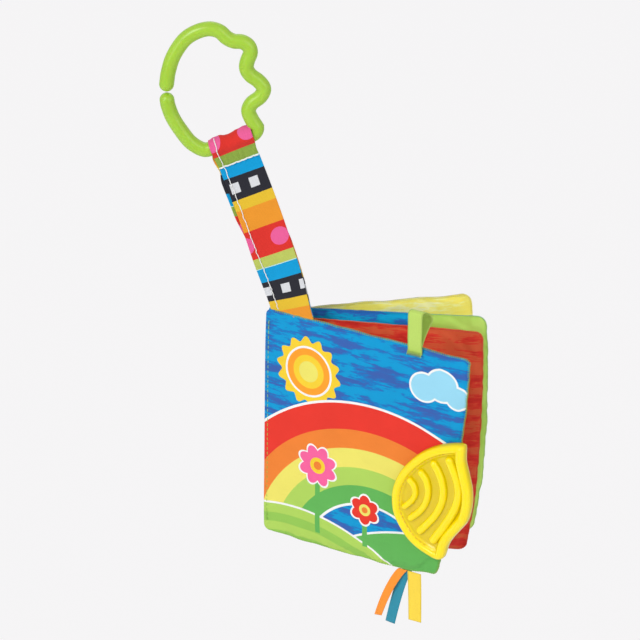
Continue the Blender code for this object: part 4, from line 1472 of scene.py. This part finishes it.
def tail(name, body, material, left, drift, out, narrow, length, curl, belly=0.0, taper=0.0):
    """A ribbon that hangs from the cover's bottom seam. It starts at left and out, and falls
    with a drift to the side, a curl at its end, a belly to the front and a taper."""
    place = hinge_place("teal_tail_swing", FRONT_COVER.turn)
    line, beside, width = [], [], []
    for step in range(TAIL_STEPS + 1):
        share = step / TAIL_STEPS
        fall = TAIL_TOP + (TAIL_LENGTH * length - TAIL_TOP) * share
        width.append(TAIL_WIDTH * narrow * (1 - share * taper))
        bow = out - belly * math.sin(math.pi * share) + curl * math.sin(2.6 * share) * 0.001
        line.append(place @ Vector((left + drift * share ** 0.75 + width[-1] / 2, bow, -fall)))
        angle = curl * 0.35 * share
        beside.append(place.to_3x3() @ Vector((math.cos(angle), math.sin(angle), 0.0)))
    ribbon(name, line, beside, width, material, body, body)


# Stage

LAMP_AIM = Vector((0.06, 0.0, -0.15))


def camera():
    """The photograph's view: straight on to the book's spine, 26 degrees above it."""
    lens = bpy.data.cameras.new("view")
    lens.lens = 150.75
    lens.sensor_width = 36.0
    lens.clip_start = 0.05
    lens.clip_end = 20.0
    eye = placed("view", lens)
    eye.location = (0.05543055, -1.25831166, 0.45661039)
    eye.rotation_euler = (math.radians(64.0), 0.0, 0.0)
    bpy.context.scene.camera = eye


def lamp(name, place, size, power):
    """A soft box, aimed at the book, that the camera doesn't see."""
    light = bpy.data.lights.new(name, "AREA")
    light.shape = "RECTANGLE"
    light.size, light.size_y = size
    light.energy = power
    box = placed(name, light)
    box.location = place
    box.rotation_euler = (LAMP_AIM - Vector(place)).to_track_quat("-Z", "Y").to_euler()
    box.visible_camera = False


def stage():
    """A pale floor well below the hanging book, a pale world and soft lamps."""
    floor = bmesh.new()
    bmesh.ops.create_grid(floor, x_segments=1, y_segments=1, size=6.0)
    bmesh.ops.translate(floor, verts=floor.verts[:], vec=(0.0, 0.0, -0.62))
    ground = placed("floor", finished_mesh("floor", floor))
    paper = Finish("floor_paper", roughness=0.9, specular_ior_level=0.0)
    pale = paint(246, 245, 246)
    paper.feed("Base Color", pale)
    rays = paper.node("ShaderNodeLightPath", {}, {}, "Is Camera Ray")
    glow = paper.node("ShaderNodeEmission", {}, {"Color": pale, "Strength": 1.0})
    surface = Socket(paper, paper.shader.outputs[0])
    mixed = paper.node("ShaderNodeMixShader", {}, {0: rays * 0.985, 1: surface, 2: glow})
    paper.put(paper.tree.nodes["Material Output"].inputs["Surface"], mixed)
    ground.data.materials.append(paper.material)
    world = bpy.data.worlds.new("studio")
    bpy.context.scene.world = world
    world.use_nodes = True
    tree = world.node_tree
    tree.nodes.clear()
    output, path, seen, lit, most, more, mix = [
        tree.nodes.new(f"ShaderNode{kind}") for kind in (
            "OutputWorld", "LightPath", "Background", "Background", "Math", "Math",
            "MixShader")]
    seen.inputs["Color"].default_value = pale
    lit.inputs["Color"].default_value = (1.0, 1.0, 1.0, 1.0)
    lit.inputs["Strength"].default_value = 0.48
    most.operation = more.operation = "MAXIMUM"
    for start, end in (
            (path.outputs["Is Camera Ray"], most.inputs[0]),
            (path.outputs["Is Glossy Ray"], most.inputs[1]),
            (most.outputs[0], more.inputs[0]),
            (path.outputs["Is Transmission Ray"], more.inputs[1]),
            (more.outputs[0], mix.inputs[0]), (lit.outputs[0], mix.inputs[1]),
            (seen.outputs[0], mix.inputs[2]), (mix.outputs[0], output.inputs["Surface"])):
        tree.links.new(start, end)
    lamp("key_lamp", (-0.9, -1.2, 1.1), (0.6, 0.6), 14.5)
    lamp("fill_lamp", (1.3, -1.1, 0.3), (0.8, 1.2), 5.0)
    lamp("left_strip", (-0.95, -0.9, 0.25), (0.12, 0.9), 3.0)
    lamp("right_strip", (0.75, -1.1, 0.75), (0.12, 0.8), 2.0)
    lamp("low_left_strip", (-0.45, -0.12, -0.50), (0.014, 0.5), 0.2)
    lamp("low_front_strip", (0.22, -0.66, -0.52), (0.012, 0.4), 0.1)
    lamp("back_lamp", (0.2, 1.3, 1.0), (1.2, 0.6), 3.0)


# The book

camera()
stage()
link_ring()
strap()
strap_threads()
GREEN_THREAD = thread_finish("green_thread", paint(140, 186, 76))
LIME_THREAD = thread_finish("light_green_thread", paint(160, 206, 90), paint(30, 122, 180))
RED_THREAD = thread_finish("red_thread", paint(212, 58, 44))
YELLOW_THREAD = thread_finish("pale_yellow_thread", paint(236, 224, 118))
leaf_cloths(FRONT_COVER, cover_cloth(), ground_cloth("red_inner_cover", RED_GROUND, 21.0))
leaf_cloths(RED_LEAF, ground_cloth("red_page", RED_GROUND, 5.0),
            ground_cloth("orange_page", ORANGE_GROUND, 12.0))
leaf_cloths(BLUE_LEAF, half_green_cloth(), ground_cloth("blue_page", BLUE_GROUND, 15.0))
leaf_cloths(BACK_COVER, ground_cloth("yellow_page", YELLOW_GROUND, 18.0),
            ground_cloth("blue_back_cover", BLUE_GROUND, 26.0, 0.0004))
edge_threads(FRONT_COVER, GREEN_THREAD)
edge_threads(RED_LEAF, RED_THREAD)
edge_threads(BLUE_LEAF, LIME_THREAD)
edge_threads(BACK_COVER, YELLOW_THREAD)
spine_threads(GREEN_THREAD)
teether()
tag_loop(thread_finish("pale_green_thread", paint(176, 208, 104)))
tail("yellow_tail_ribbon", "yellow_tail", ribbon_cloth("yellow_ribbon", paint(246, 212, 58), 0.8),
     left=0.0870, drift=0.0012, out=-TAIL_LAYER, narrow=1.0, length=1.0, curl=0.15, taper=0.08)
tail("orange_tail_ribbon", "orange_tail", ribbon_cloth("orange_ribbon", paint(252, 146, 26), 0.8),
     left=0.0817, drift=-0.0144, out=-TAIL_LAYER, narrow=0.68, length=1.11, curl=0.6,
     belly=0.0020, taper=0.25)
tail("teal_tail_ribbon", "teal_tail", ribbon_cloth("teal_ribbon", paint(12, 136, 162), 0.8),
     left=0.0834, drift=-0.0098, out=TAIL_LAYER, narrow=0.74, length=1.19, curl=-0.3)

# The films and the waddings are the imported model's own solids
for inside, inside_finish in (
        ("front_cover_crinkle_film", film_finish), ("back_cover_crinkle_film", film_finish),
        ("red_leaf_wadding", wadding_finish), ("blue_leaf_wadding", wadding_finish)):
    inside_materials = frame["nodes"][inside].data.materials
    inside_materials.clear()
    inside_materials.append(inside_finish())

bpy.context.scene.view_settings.view_transform = "Standard"
